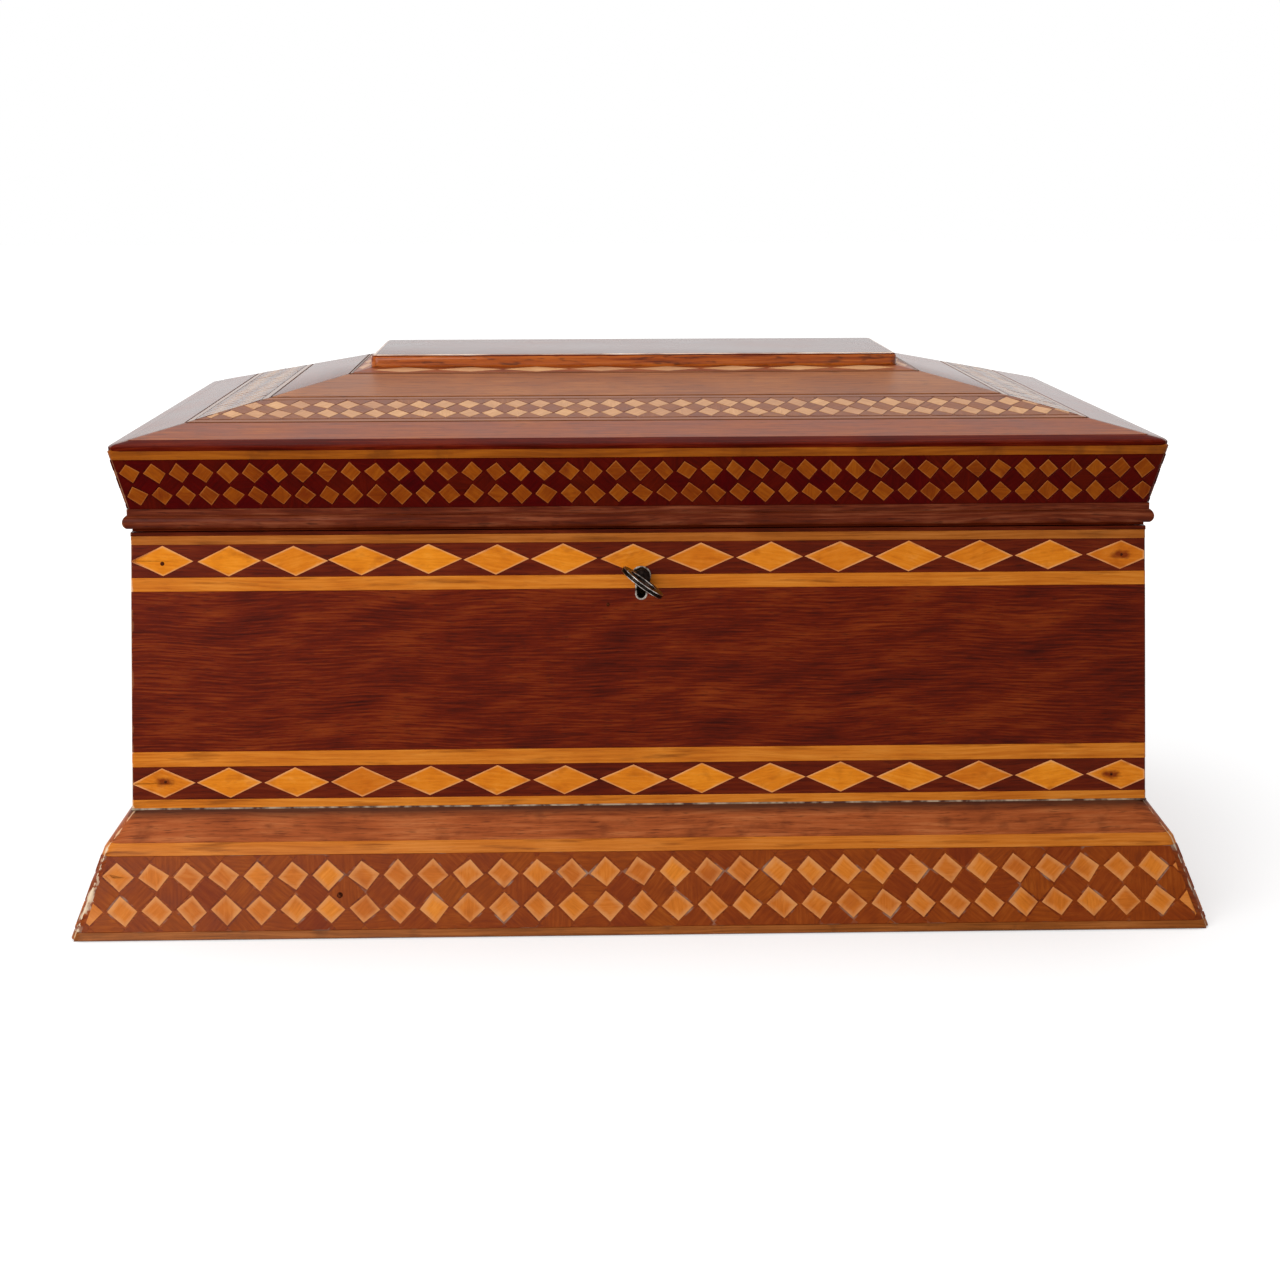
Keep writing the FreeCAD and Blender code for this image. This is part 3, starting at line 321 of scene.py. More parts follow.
def woodFinish(name, look):
    finish, add, spot = newFinish(name)
    place = grainPlace(add, look["way"], spot)
    # slow wander of the grain lines
    wander = add("TexNoise", {"Vector": place, "Scale": 1 / look["wanderLength"], "Detail": 1.0})
    lean = add("VectorMath", (wander.outputs["Color"], (0.5, 0.5, 0.5)), operation="SUBTRACT")
    shift = add("VectorMath", (lean, (0, look["wander"], 0), place), operation="MULTIPLY_ADD")

    def drawnOut(mark, place, **settings):
        # noise as long and as wide as that mark is in the wood
        size = (1 / look[mark + "Length"], 1 / look[mark + "Width"], 1.0)
        drawn = add("Mapping", {"Vector": place, "Scale": size})
        return add("TexNoise", {"Vector": drawn, "Scale": 1.0, **settings})

    # streaks and open pores along the grain, the pores drawn about twice as wide as they are so that they show
    streak = drawnOut("streak", shift, Detail=5.0, Roughness=0.62)
    pore = drawnOut("pore", shift, Detail=2.0)
    mottleSize = (look["mottleLength"], look["mottleWidth"], 1.0)
    mottleMap = add("Mapping", {"Vector": place, "Rotation": (0, 0, look["mottleTurn"]), "Scale": mottleSize},
                    vector_type="TEXTURE")
    mottle = add("TexNoise", {"Vector": mottleMap, "Scale": 1.0, "Detail": 4.0})
    blend = add("Mix", {0: look["mottle"], 2: streak, 3: mottle})
    ramp = add("ValToRGB", (blend,))
    stops = ramp.color_ramp.elements
    stops[0].position, stops[1].position = look["contrast"]
    stops.new(sum(look["contrast"]) / 2)
    for stop, tint in zip(stops, look["colours"]):
        stop.color = hexColour(tint)
    pit = add("MapRange", (pore, *ageing["pore"], 0.0, look["pores"]))
    poreColour = hexColour(look["poreColour"])
    colour = add("Mix", {0: pit, 6: ramp, 7: poreColour}, data_type="RGBA").outputs[2]
    if look["way"] == "tile":
        # each tile was cut from another scrap, so its tone differs
        tone = add("Attribute", attribute_name="tone").outputs["Fac"]
        value = add("MapRange", (tone, 0.0, 1.0, look["darkest"], look["lightest"]))
        hue = add("MapRange", (tone, 0.0, 1.0, *ageing["toneHue"]))
        colour = add("HueSaturation", {"Hue": hue, "Value": value, "Color": colour})
    # what has come over the wood since, and painted shade at the wall's foot, as a share of the surface and a
    # colour
    marks = []
    if "rimColour" in look:
        # polish worn thin along the tile's edges
        rim = add("Attribute", attribute_name="rim").outputs["Fac"]
        ragged = add("Math", (mottle, ageing["rimRagged"], rim), operation="MULTIPLY_ADD")
        worn = add("MapRange", (ragged, *ageing["rim"], 0.0, ageing["rimMost"]))
        marks.append((worn, look["rimColour"]))
    if "stain" in look:
        # brown stains where polish and dirt have gathered
        most, tint = look["stain"]
        cloud = drawnOut("stain", place, Detail=5.0)
        marks.append((add("MapRange", (cloud, *ageing["stain"], 0.0, most)), tint))
    if "nailStain" in look:
        marks.append((nailStain(add, spot, look["nailStain"]), nailBloom["colour"]))
    if "paintedFootShade" in look:
        # painted shade in the corner under the wall's foot, darkest next to the wall
        height = add("SeparateXYZ", (spot,)).outputs["Z"]
        ragged = add("Math", (mottle, ageing["paintedFootShadeRagged"], height), operation="MULTIPLY_ADD")
        reach = [wallFoot[1] - down for down in ageing["paintedFootShadeReach"]]
        marks.append((add("MapRange", (ragged, *reach, 0.0, look["paintedFootShade"])), ageing["paintedFootShadeColour"]))
    if "wear" in look:
        width, tint = look["wear"]
        marks.append((cornerWear(add, spot, width * mm), tint))
    for share, tint in marks:
        colour = add("Mix", {0: share, 6: colour, 7: hexColour(tint)}, data_type="RGBA").outputs[2]
    spread = (look["roughness"] - ageing["duller"], look["roughness"] + ageing["rougher"])
    rough = add("MapRange", (mottle, *ageing["mottle"], *spread))
    bump = add("Bump", {"Strength": look["bump"], "Distance": ageing["poreDepth"], "Height": pore},
               invert=True)
    shader = add("BsdfPrincipled", {
        "Base Color": colour, "Roughness": rough, "Normal": bump, "IOR": look["ior"],
        "Specular IOR Level": look["specular"], "Coat Weight": look["coat"],
        "Coat Roughness": look["coatRoughness"], "Coat IOR": look["coatIor"],
        "Sheen Weight": look["dust"], "Sheen Roughness": look["dustRoughness"]})
    add("OutputMaterial", {"Surface": shader})
    return finish


# french polish on upright faces, which keeps the wood's colour deep; lengths and widths are in millimetres
frenchPolish = dict(
    way="sides", wanderLength=70.0, wander=6.0, streakLength=26.0, streakWidth=1.2, mottleLength=26.0,
    mottleWidth=26.0, mottleTurn=0.0, mottle=0.38, contrast=(0.33, 0.67), poreLength=5.5, poreWidth=0.5,
    pores=0.6, poreColour="#2A0A03", stainLength=9.0, stainWidth=9.0, roughness=0.34, bump=0.25, ior=1.45,
    specular=0.03, coat=0.4, coatRoughness=0.16, coatIor=1.17, dust=0.0, dustRoughness=0.3)
# polish on the roof, clouded and more reflecting than on the upright faces
hazyPolish = dict(roughness=0.5, ior=1.22, specular=0.45, coat=0.6, coatRoughness=0.42, coatIor=1.2, dust=0.6,
                  dustRoughness=0.12)
# polish on the roof's ends and on the panel's top, clearer than on the roof's front and back
clearPolish = dict(roughness=0.45, ior=1.22, specular=0.2, coat=1.0, coatRoughness=0.24, coatIor=1.28)
# polish on the plinth, rubbed dull so that it takes a pale bloom from the light
rubbedPolish = dict(roughness=0.42, ior=1.3, specular=0.2, coat=0.05, coatRoughness=0.4, coatIor=1.3)
# thin polish on what stands in the lid's shade, with hardly a reflection
dullPolish = dict(specular=0.01, coat=0.3, coatIor=1.14)
# worn corners: bare wood on the mouldings and the lid's edge, a dark line along the roof's hips
bareMoulding = dict(wear=(0.8, "#A0704A"))
darkHip = dict(wear=(0.7, "#2A0F08"))
# on the roof's ends the hip line is darker still, with their painted shade
blackHip = dict(wear=(0.7, "#1C0A05"))
# boards that were stained and never polished; their dark colour is also painted shade in the roof's open
# joints and in the seam under the lid
stainedShadedBoard = dict(frenchPolish, colours=("#2C0A03", "#4E1606", "#6A2610"), roughness=0.6, specular=0.0,
                    coat=0.0)
# plain boards of the carcass, waxed and a little dusty inside
waxedBoard = dict(frenchPolish, colours=("#6A3A1C", "#8C5228", "#A56A38"), roughness=0.55, coat=0.0, bump=0.5)
# boxwood strings have fine straight grain, few pores, and stains that run along them
stringWood = dict(frenchPolish, streakWidth=0.9, streakLength=30.0, pores=0.25)
longStain = dict(stainLength=24.0, stainWidth=2.6)
# tiles are short scraps, so their grain is short as well
tileWood = dict(
    frenchPolish, way="tile", wander=3.0, streakLength=9.0, streakWidth=0.8, mottleLength=6.0, mottleWidth=6.0,
    mottle=0.4, contrast=(0.22, 0.78), poreLength=2.2, poreWidth=0.4, pores=0.2, darkest=0.8, lightest=1.1)
woodLooks = {
    # mahogany leaf on the walls: deep red brown with long dark streaks
    "mahoganyField": dict(
        frenchPolish, colours=("#340600", "#601702", "#80320B"), streakLength=15.0, streakWidth=0.62,
        wanderLength=45.0, wander=5.0, mottleLength=30.0, mottleWidth=9.0, mottleTurn=0.2, mottle=0.44,
        contrast=(0.35, 0.65), poreLength=4.2, poreWidth=0.4, pores=0.5, wear=(1.1, "#8A5636")),
    # the same wood on the plinth, rubbed paler by handling, with painted shade at the wall's foot
    "mahoganyPlinth": dict(
        frenchPolish, **rubbedPolish, colours=("#682B0E", "#9A4C22", "#B46838"), streakWidth=1.8,
        wear=(1.6, "#D8B08A"), stain=(0.5, "#4A1A08"), paintedFootShade=0.85),
    # roof margin and leaf, dulled by settled dust
    "mahoganyRoof": dict(frenchPolish, **hazyPolish, **darkHip, colours=("#5A2007", "#7A360C", "#924E18")),
    "mahoganyLeaf": dict(frenchPolish, **hazyPolish, **darkHip, colours=("#643010", "#84491E", "#9C6030")),
    # lipping on the walls, dark as painted shade in the seam under the lid
    "mahoganyMoulding": dict(
        frenchPolish, **dullPolish, **bareMoulding, colours=("#2C0A03", "#4E1606", "#6A2610")),
    # the lid's boards, and the panel's underside with its grain one way
    "mahoganyBoard": stainedShadedBoard,
    "mahoganyUnderside": dict(stainedShadedBoard, way="board"),
    # bead round the lid's foot, with a soft light along its round
    "mahoganyBead": dict(
        frenchPolish, **bareMoulding, colours=("#3A0C02", "#5E220C", "#88482C"), coat=0.4, coatIor=1.18,
        coatRoughness=0.2),
    # the lid's widest edge, nearly black red
    "mahoganyArris": dict(
        frenchPolish, **bareMoulding, colours=("#2E0500", "#4E0D03", "#682008"), specular=0.01, coat=0.1,
        coatIor=1.1),
    # the panel's sides, glossy orange brown, and its top, darker as painted shade, under a clear polish
    "mahoganyPanel": dict(
        frenchPolish, way="board", colours=("#5A1C04", "#A24C12", "#C26A24"), coat=0.6, coatIor=1.35,
        coatRoughness=0.08),
    "mahoganyTop": dict(frenchPolish, **clearPolish, way="board", colours=("#320D03", "#4A1805", "#602708")),
    # the roof's ends, darker than its front and back as painted shade, under a clear polish
    "mahoganyEnds": dict(frenchPolish, **clearPolish, **blackHip, colours=("#380F04", "#521C06", "#682B0C")),
    # the panel's upper edge, pale in patches: a painted highlight along its round
    "paintedHighlightEdge": dict(
        frenchPolish, **clearPolish, way="board", colours=("#7A4A2C", "#B8947A", "#D6C0AE"),
        mottleLength=14.0, mottleWidth=14.0, mottle=0.7, contrast=(0.4, 0.6), pores=0.2),
    # boxwood, yellowed to orange by the polish: on the walls, at the plinth's break, in the frieze's shade
    # (darker, as painted shade), under the lid's edge (darker), at the plinth's foot, on the roof and on the
    # roof's ends (darker, as painted shade)
    "boxwoodString": dict(
        stringWood, **longStain, colours=("#A85410", "#C4701E", "#D68630"), poreColour="#8A4210",
        stain=(0.95, "#80400C"), wear=(1.3, "#E0BE96")),
    "boxwoodBreak": dict(
        stringWood, **rubbedPolish, **longStain, colours=("#A45410", "#BE6C20", "#CC7E34"),
        poreColour="#8A4210", stain=(0.95, "#80400C"), wear=(2.4, "#E0C6A4")),
    # the frieze's string: darker colours as painted shade
    "boxwoodShaded": dict(
        stringWood, colours=("#6E3204", "#8C4708", "#A45A10"), poreColour="#5A2606", stain=(0.5, "#5A2A08")),
    "boxwoodUnderLid": dict(
        stringWood, **longStain, colours=("#7E400E", "#A0581C", "#B46C2C"), poreColour="#5A2A08",
        stain=(0.6, "#5E2E0C"), wear=(1.3, "#E0BE96")),
    "boxwoodFoot": dict(
        stringWood, **rubbedPolish, colours=("#66350F", "#8C4C1C", "#AA6630"), poreColour="#4A2208",
        stain=(0.6, "#4A220A"), wear=(2.4, "#D8B890")),
    "boxwoodRoof": dict(
        stringWood, **hazyPolish, **darkHip, colours=("#6A3A20", "#7C4A2E", "#8E5A3C"), pores=0.3,
        poreColour="#5A2A14"),
    "boxwoodEnds": dict(
        stringWood, **clearPolish, **blackHip, colours=("#5C3618", "#724826", "#865A36"), pores=0.3,
        poreColour="#5A2A14"),
    # satinwood tiles, orange with paler edges: in the walls' bands, plinth, frieze and roof, and on its ends;
    # darker in the frieze and on the ends as painted shade
    "satinwoodTile": dict(
        tileWood, colours=("#BA5C0A", "#D67A18", "#E49232"), poreColour="#9A4E14", stain=(0.6, "#A4500C"),
        stainLength=7.0, stainWidth=4.0, rimColour="#E0A068", nailStain=0.9),
    "satinwoodPlinth": dict(
        tileWood, **rubbedPolish, colours=("#A4540F", "#C46D20", "#D4863A"), poreColour="#8A4414",
        stain=(0.5, "#9A4A16"), rimColour="#CE8C54", lightest=1.16),
    # the frieze's tiles: darker colours as painted shade
    "satinwoodFrieze": dict(
        tileWood, **dullPolish, colours=("#662604", "#883F08", "#A25810"), poreColour="#4A1E04",
        stain=(0.6, "#641E06"), darkest=0.72, lightest=1.14, rimColour="#A4622C"),
    "satinwoodRoof": dict(
        tileWood, **hazyPolish, colours=("#986842", "#B68458", "#CC9C74"), poreColour="#7A4C30"),
    "satinwoodEnds": dict(
        tileWood, **clearPolish, colours=("#6C4220", "#865A2E", "#9C7040"), poreColour="#4A2A14"),
    # rosewood tiles between them, red brown to nearly black, and the walls' ground strips; darker in the
    # frieze and on the roof's ends as painted shade
    "rosewoodPlinth": dict(
        tileWood, **rubbedPolish, colours=("#5E2206", "#803506", "#9A4C14"), poreColour="#3A1206",
        darkest=0.78, lightest=1.16),
    # the frieze's dark tiles: darker still, as painted shade
    "rosewoodFrieze": dict(
        tileWood, **dullPolish, colours=("#2E0200", "#480500", "#5A0D02"), poreColour="#200200"),
    "rosewoodRoof": dict(
        tileWood, **hazyPolish, colours=("#582610", "#764020", "#8E5834"), poreColour="#3A180A"),
    "rosewoodEnds": dict(
        tileWood, **clearPolish, colours=("#38160A", "#4C2413", "#5E321D"), poreColour="#1E0A05"),
    "rosewoodBand": dict(
        frenchPolish, colours=("#3E0C01", "#5A1703", "#70280A"), streakWidth=1.4, wear=(0.9, "#8A5636")),
    # the bed under each checker, which shows in the joints and where the corners are rubbed; darker in the
    # frieze and on the roof's ends as painted shade
    "rosewoodPlinthBed": dict(
        frenchPolish, **rubbedPolish, colours=("#5C2006", "#7C3206", "#964812"), wear=(4.5, "#DCC6A8"),
        stain=(0.8, "#96806E")),
    # the frieze's bed: darker colours as painted shade
    "rosewoodFriezeBed": dict(
        frenchPolish, **dullPolish, colours=("#2E0200", "#480500", "#5A0D02"), poreColour="#200200",
        wear=(1.6, "#8A5A3A")),
    "rosewoodRoofBed": dict(
        frenchPolish, **hazyPolish, colours=("#4E2212", "#6C3A24", "#845238"), poreColour="#34140A"),
    "rosewoodEndsBed": dict(
        frenchPolish, **clearPolish, colours=("#38160A", "#4C2413", "#5E321D"), poreColour="#1E0A05"),
    # the carcass, pale brown and without gloss
    "carcassBoard": waxedBoard,
    "carcassBottom": dict(waxedBoard, way="board"),
}
wood = {name: woodFinish(name, look) for name, look in woodLooks.items()}


def waxFinish(name, look):
    # dark glue and polish with paler old filler here and there
    finish, add, spot = newFinish(name)
    patch = add("TexNoise", {"Vector": spot, "Scale": 1 / look["patch"], "Detail": 3.0})
    ramp = add("ValToRGB", (patch,))
    for stop, position, tint in zip(ramp.color_ramp.elements, look["share"], look["colours"]):
        stop.position = position
        stop.color = hexColour(tint)
    shader = add("BsdfPrincipled", {"Base Color": ramp, "Roughness": look["roughness"],
                                    "Specular IOR Level": look["specular"]})
    add("OutputMaterial", {"Surface": shader})
    return finish


oldWax = waxFinish("waxLine", {"patch": 3.4 * mm, "share": (0.4, 0.62), "colours": ("#3A1A0C", "#A08C74"),
                               "roughness": 0.6, "specular": 0.25})
metalSkin = {"share": (0.38, 0.62), "roughShare": (0.3, 0.7), "bump": 0.3, "depth": 0.05 * mm}


def metalFinish(name, look):
    # dark skin in blotches, smoother where it is rubbed bright
    finish, add, spot = newFinish(name)
    blotch = add("TexNoise", {"Vector": spot, "Scale": 1 / look["blotch"], "Detail": 6.0, "Roughness": 0.65})
    ramp = add("ValToRGB", (blotch,))
    for stop, position, tint in zip(ramp.color_ramp.elements, metalSkin["share"], look["colours"]):
        stop.position = position
        stop.color = hexColour(tint)
    smooth, dull = look["rough"]
    rough = add("MapRange", (blotch, *metalSkin["roughShare"], dull, smooth))
    bump = add("Bump", {"Strength": metalSkin["bump"], "Distance": metalSkin["depth"], "Height": blotch})
    shader = add("BsdfPrincipled", {"Base Color": ramp, "Metallic": 1.0, "Roughness": rough, "Normal": bump})
    add("OutputMaterial", {"Surface": shader})
    return finish


metalLooks = {
    # cast brass gone brown in the hollows; on the lock's plate dark nearly all over, as painted shade for the
    # lock's inside seen through the keyhole
    "tarnishedShadedBrass": dict(blotch=4.5 * mm, colours=("#2C200C", "#5E481F"), rough=(0.4, 0.6)),
    "agedBrass": dict(blotch=3.0 * mm, colours=("#5A4218", "#B08A45"), rough=(0.28, 0.55)),
    # filed steel with grey stains, darker in the keyhole's liner as painted shade
    "wornSteel": dict(blotch=2.0 * mm, colours=("#55504A", "#A9A49C"), rough=(0.25, 0.5)),
    "shadedLinerSteel": dict(blotch=1.6 * mm, colours=("#2A231E", "#A39A90"), rough=(0.2, 0.45)),
    # iron with a brown black skin, rubbed bright on the key's edges and rusty on the nails
    "keyIron": dict(blotch=1.4 * mm, colours=("#0B0807", "#231B17"), rough=(0.28, 0.48)),
    "rubbedSteel": dict(blotch=1.8 * mm, colours=("#6A645E", "#CFCAC4"), rough=(0.2, 0.4)),
    "nailIron": dict(blotch=0.8 * mm, colours=("#1A0804", "#4A2010"), rough=(0.45, 0.65)),
}
metal = {name: metalFinish(name, look) for name, look in metalLooks.items()}
print("finishes made:", len(bpy.data.materials))


# leaves, strings and mouldings that run round the box

stripShape = {"corner": 0.7 * mm, "plinthCorner": 3.6 * mm, "lidCorner": 1.8 * mm, "arrisCorner": 3.2 * mm,
              "marginCorner": 1.4 * mm, "cornerSegments": 4, "edgeEase": 0.09 * mm, "roofJoint": 0.42 * mm,
              "footLift": 0.1 * mm}


def addStrip(name, section, thickness, corner="corner"):
    # a rectangle of edges, drawn up from point to point of the section
    out, height = section[0]
    strip = start(name, bpy.ops.mesh.primitive_plane_add, size=2, location=(0, 0, height))
    strip.scale = (out + mitre, out, 1)
    applyPlace(strip)
    editWhole(strip)
    bpy.ops.mesh.delete(type="ONLY_FACE")
    bpy.ops.mesh.select_all(action="SELECT")
    for nextOut, nextHeight in section[1:]:
        growth = ((nextOut + mitre) / (out + mitre), nextOut / out, 1)
        bpy.ops.mesh.extrude_region_move(TRANSFORM_OT_translate={"value": (0, 0, nextHeight - height)})
        bpy.ops.transform.resize(value=growth, center_override=(0, 0, 0))
        out, height = nextOut, nextHeight
    bpy.ops.mesh.select_all(action="SELECT")
    bpy.ops.mesh.normals_make_consistent(inside=False)
    leaveEdit()
    # soften the mitred corners, give the leaf its thickness, then ease its edges
    bevelEdges(strip, lambda a, b: max(abs(a.x - b.x), abs(a.y - b.y)) < out / 2,
               stripShape[corner], stripShape["cornerSegments"])
    applyModifier(strip, "SOLIDIFY", thickness=thickness, offset=-1, use_even_offset=True)
    easeEdges(strip, stripShape["edgeEase"])
    smoothRounds(strip)
    return strip


def sunk(section, depth):
    (lowOut, lowHeight), (highOut, highHeight) = section
    run = Vector((highOut - lowOut, highHeight - lowHeight)).normalized()
    return [(out - run.y * depth, height + run.x * depth) for out, height in section]


linerLow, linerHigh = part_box("escutcheon")
keyAxis = linerHigh.z - linerHigh.x
keyhole = {"halfSlot": 1.8 * mm, "wall": 0.5 * mm, "cutDepth": 30 * mm, "ease": 0.14 * mm, "steps": 48}


def keyholeParts(shrink, depth):
    # a round head, a slot below it and the slot's round foot, as three solids that overlap
    middle = (linerLow.y + linerHigh.y) / 2
    foot = linerLow.z + keyhole["halfSlot"]
    rounds = [start("round", bpy.ops.mesh.primitive_cylinder_add, vertices=keyhole["steps"], depth=depth,
                    radius=radius - shrink, location=(0, middle, height), rotation=(math.pi / 2, 0, 0))
              for radius, height in ((linerHigh.x, keyAxis), (keyhole["halfSlot"], foot))]
    slot = start("slot", bpy.ops.mesh.primitive_cube_add, size=1, location=(0, middle, (keyAxis + foot) / 2))
    slot.scale = (2 * (keyhole["halfSlot"] - shrink), depth, keyAxis - foot)
    return rounds + [slot]


def combine(piece, parts, operation):
    for part in parts:
        applyModifier(piece, "BOOLEAN", object=part, operation=operation, solver="EXACT")
        bpy.data.objects.remove(part)


def cutKeyhole(piece):
    combine(piece, keyholeParts(0, keyhole["cutDepth"]), "DIFFERENCE")


def jointed(section):
    # a roof leaf drawn in from its neighbours, so that the old joints stand open
    low, high = Vector(section[0]), Vector(section[-1])
    run = (high - low).normalized() * stripShape["roofJoint"]
    return [tuple(low + run), tuple(high - run)]


def finishEnds(piece, finish):
    # the roof's two ends keep a clearer polish than its front and back, and darker colours as painted shade
    piece.data.materials.append(finish)
    for face in piece.data.polygons:
        if abs(face.normal.x) > abs(face.normal.y) and face.normal.z > 0.5:
            face.material_index = 1


def layStrips(name, node, finish, sections, corner="corner", pierced=False, ends=None):
    piece = joinPieces([addStrip(name, section, veneer, corner) for section in sections], name)
    if pierced:
        cutKeyhole(piece)
        smoothRounds(piece)
    seat(piece, node, wood[finish])
    if ends:
        finishEnds(piece, wood[ends])


footStart = between(*plinthEdge[:2], plinthEdge[0][1] + stripShape["footLift"])
layStrips("fieldLeaves", "field_veneers", "mahoganyField", [field], pierced=True)
layStrips("lowerStrings", "lower_strings", "boxwoodString",
          [(wallFoot, lowerBand[0]), (lowerBand[1], field[0])])
layStrips("upperStrings", "upper_strings", "boxwoodString", [(field[1], upperBand[0])], pierced=True)
layStrips("seamStrings", "upper_strings", "boxwoodUnderLid", [(upperBand[1], upperTop)])
layStrips("footStrings", "plinth_strings", "boxwoodFoot", [(footStart, plinthEdge[1])], "plinthCorner")
layStrips("breakStrings", "plinth_strings", "boxwoodBreak", [plinthEdge[2:]], "plinthCorner")
layStrips("plinthBevels", "plinth_bevels", "mahoganyPlinth", [(bevelEdge[0], bevelEdge[-1])], "plinthCorner")
layStrips("friezeLine", "frieze_string", "boxwoodShaded", [friezeEdge], "lidCorner")
layStrips("lidArris", "lid_arris", "mahoganyArris", [arrisEdge], "arrisCorner", ends="mahoganyEnds")
layStrips("roofMargins", "roof_margins", "mahoganyRoof", [(marginEdge[0], jointed(marginEdge)[1])],
          "marginCorner", ends="mahoganyEnds")
layStrips("roofStrings", "roof_strings", "boxwoodRoof", [jointed(roofEdge[:2]), jointed(roofEdge[2:])],
          ends="boxwoodEnds")
layStrips("roofLeaves", "roof_veneers", "mahoganyLeaf", [jointed(topEdge("roof_veneers"))],
          ends="mahoganyEnds")
layStrips("panelStrings", "panel_strings", "boxwoodRoof", [jointed(topEdge("panel_strings"))],
          ends="boxwoodEnds")

# old wax and filler caught in the corner at the wall's foot
waxShape = {"up": 0.12 * mm, "down": 0.4 * mm, "proud": 0.03 * mm, "thickness": 0.3 * mm}
waxSection = [between(bevelEdge[0], wallFoot, wallFoot[1] - waxShape["down"]),
              between(wallFoot, wallTop, wallFoot[1] + waxShape["up"])]
wax = addStrip("waxLine", sunk(waxSection, -waxShape["proud"]), waxShape["thickness"])
dress(wax, oldWax)
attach(wax, "case")
print("strips laid round the box")


# parquetry: every tile is cut by hand, so its corners wander and its tone differs

sideTurns = {"front": 0, "right": 90, "back": 180, "left": 270}


def sideFrame(side, section):
    # the strip's half lengths at its two edges, its width, and the matrix that lays it on that side of the box
    (lowOut, lowHeight), (highOut, highHeight) = section
    endOn = side in ("left", "right")
    halfLow, halfHigh = (lowOut, highOut) if endOn else (lowOut + mitre, highOut + mitre)
    up = Vector((0, lowOut - highOut, highHeight - lowHeight))
    width = up.length
    up.normalize()
    along = Vector((1, 0, 0))
    lay = Matrix((along, up, along.cross(up))).transposed().to_4x4()
    lay.translation = (0, -lowOut - (mitre if endOn else 0), lowHeight)
    return halfLow, halfHigh, width, Matrix.Rotation(math.radians(sideTurns[side]), 4, "Z") @ lay


def trim(piece, halfLow, halfHigh, width, tile):
    # cut what runs past the mitres and the strip's two edges
    slope = Vector((width, halfLow - halfHigh, 0)).normalized()
    margin, end = tile["edgeGap"], halfLow - tile["mitreGap"]
    cuts = [((0, margin, 0), (0, -1, 0)), ((0, width - margin, 0), (0, 1, 0)),
            ((end, 0, 0), slope), ((-end, 0, 0), (-slope.x, slope.y, 0))]
    for place, normal in cuts:
        editWhole(piece)
        bpy.ops.mesh.bisect(plane_co=place, plane_no=normal, clear_outer=True)
        leaveEdit()


def someTone(shuffle, middle, spread):
    return min(max(shuffle.gauss(middle, spread), 0), 1)


def thicken(piece, tile, shuffle):
    # one flat face is one tile: give it its own grain, a slight tilt, thickness and eased edges
    mesh = piece.data
    grain = mesh.uv_layers.new(name="tileGrain").data
    for face in mesh.polygons:
        degrees = shuffle.choice(tile["grainTurns"]) + shuffle.uniform(-1, 1) * tile["grainSwing"]
        turn = Matrix.Rotation(math.radians(degrees), 2)
        scrap = Vector((shuffle.uniform(0, 1), shuffle.uniform(0, 1)))
        lift = shuffle.uniform(0.0, tile["lift"])
        tipX, tipY = shuffle.gauss(0, tile["tilt"]), shuffle.gauss(0, tile["tilt"])
        for loop in face.loop_indices:
            grain[loop].uv = scrap + turn @ mesh.vertices[mesh.loops[loop].vertex_index].co.xy
        for corner in face.vertices:
            away = mesh.vertices[corner].co - face.center
            mesh.vertices[corner].co.z = lift + away.x * tipX + away.y * tipY
    if "rim" in tile:
        light = mesh.attributes.get("light")
        large = [face.area > tile["rimArea"] and (light is None or light.data[face.index].value == 1)
                 for face in mesh.polygons]
        workFaces(piece, large, bpy.ops.mesh.inset, thickness=tile["rim"], use_individual=True)
        rim = mesh.attributes.new("rim", "FLOAT", "POINT")
        rim.data.foreach_set("value", [1.0] * len(mesh.vertices))
        for face, wide in zip(mesh.polygons, large):
            for corner in face.vertices:
                rim.data[corner].value = 0.0 if wide else tile["smallRim"]
    applyModifier(piece, "SOLIDIFY", thickness=tile["thickness"], offset=-1)
    easeEdges(piece, tile["ease"])


def dropSmall(piece, smallest):
    small = [face.area < smallest or face.normal.z < 0 for face in piece.data.polygons]
    workFaces(piece, small, bpy.ops.mesh.delete, type="FACE")


def lightTiles(mesh):
    return [bool(light.value) for light in mesh.attributes["light"].data]


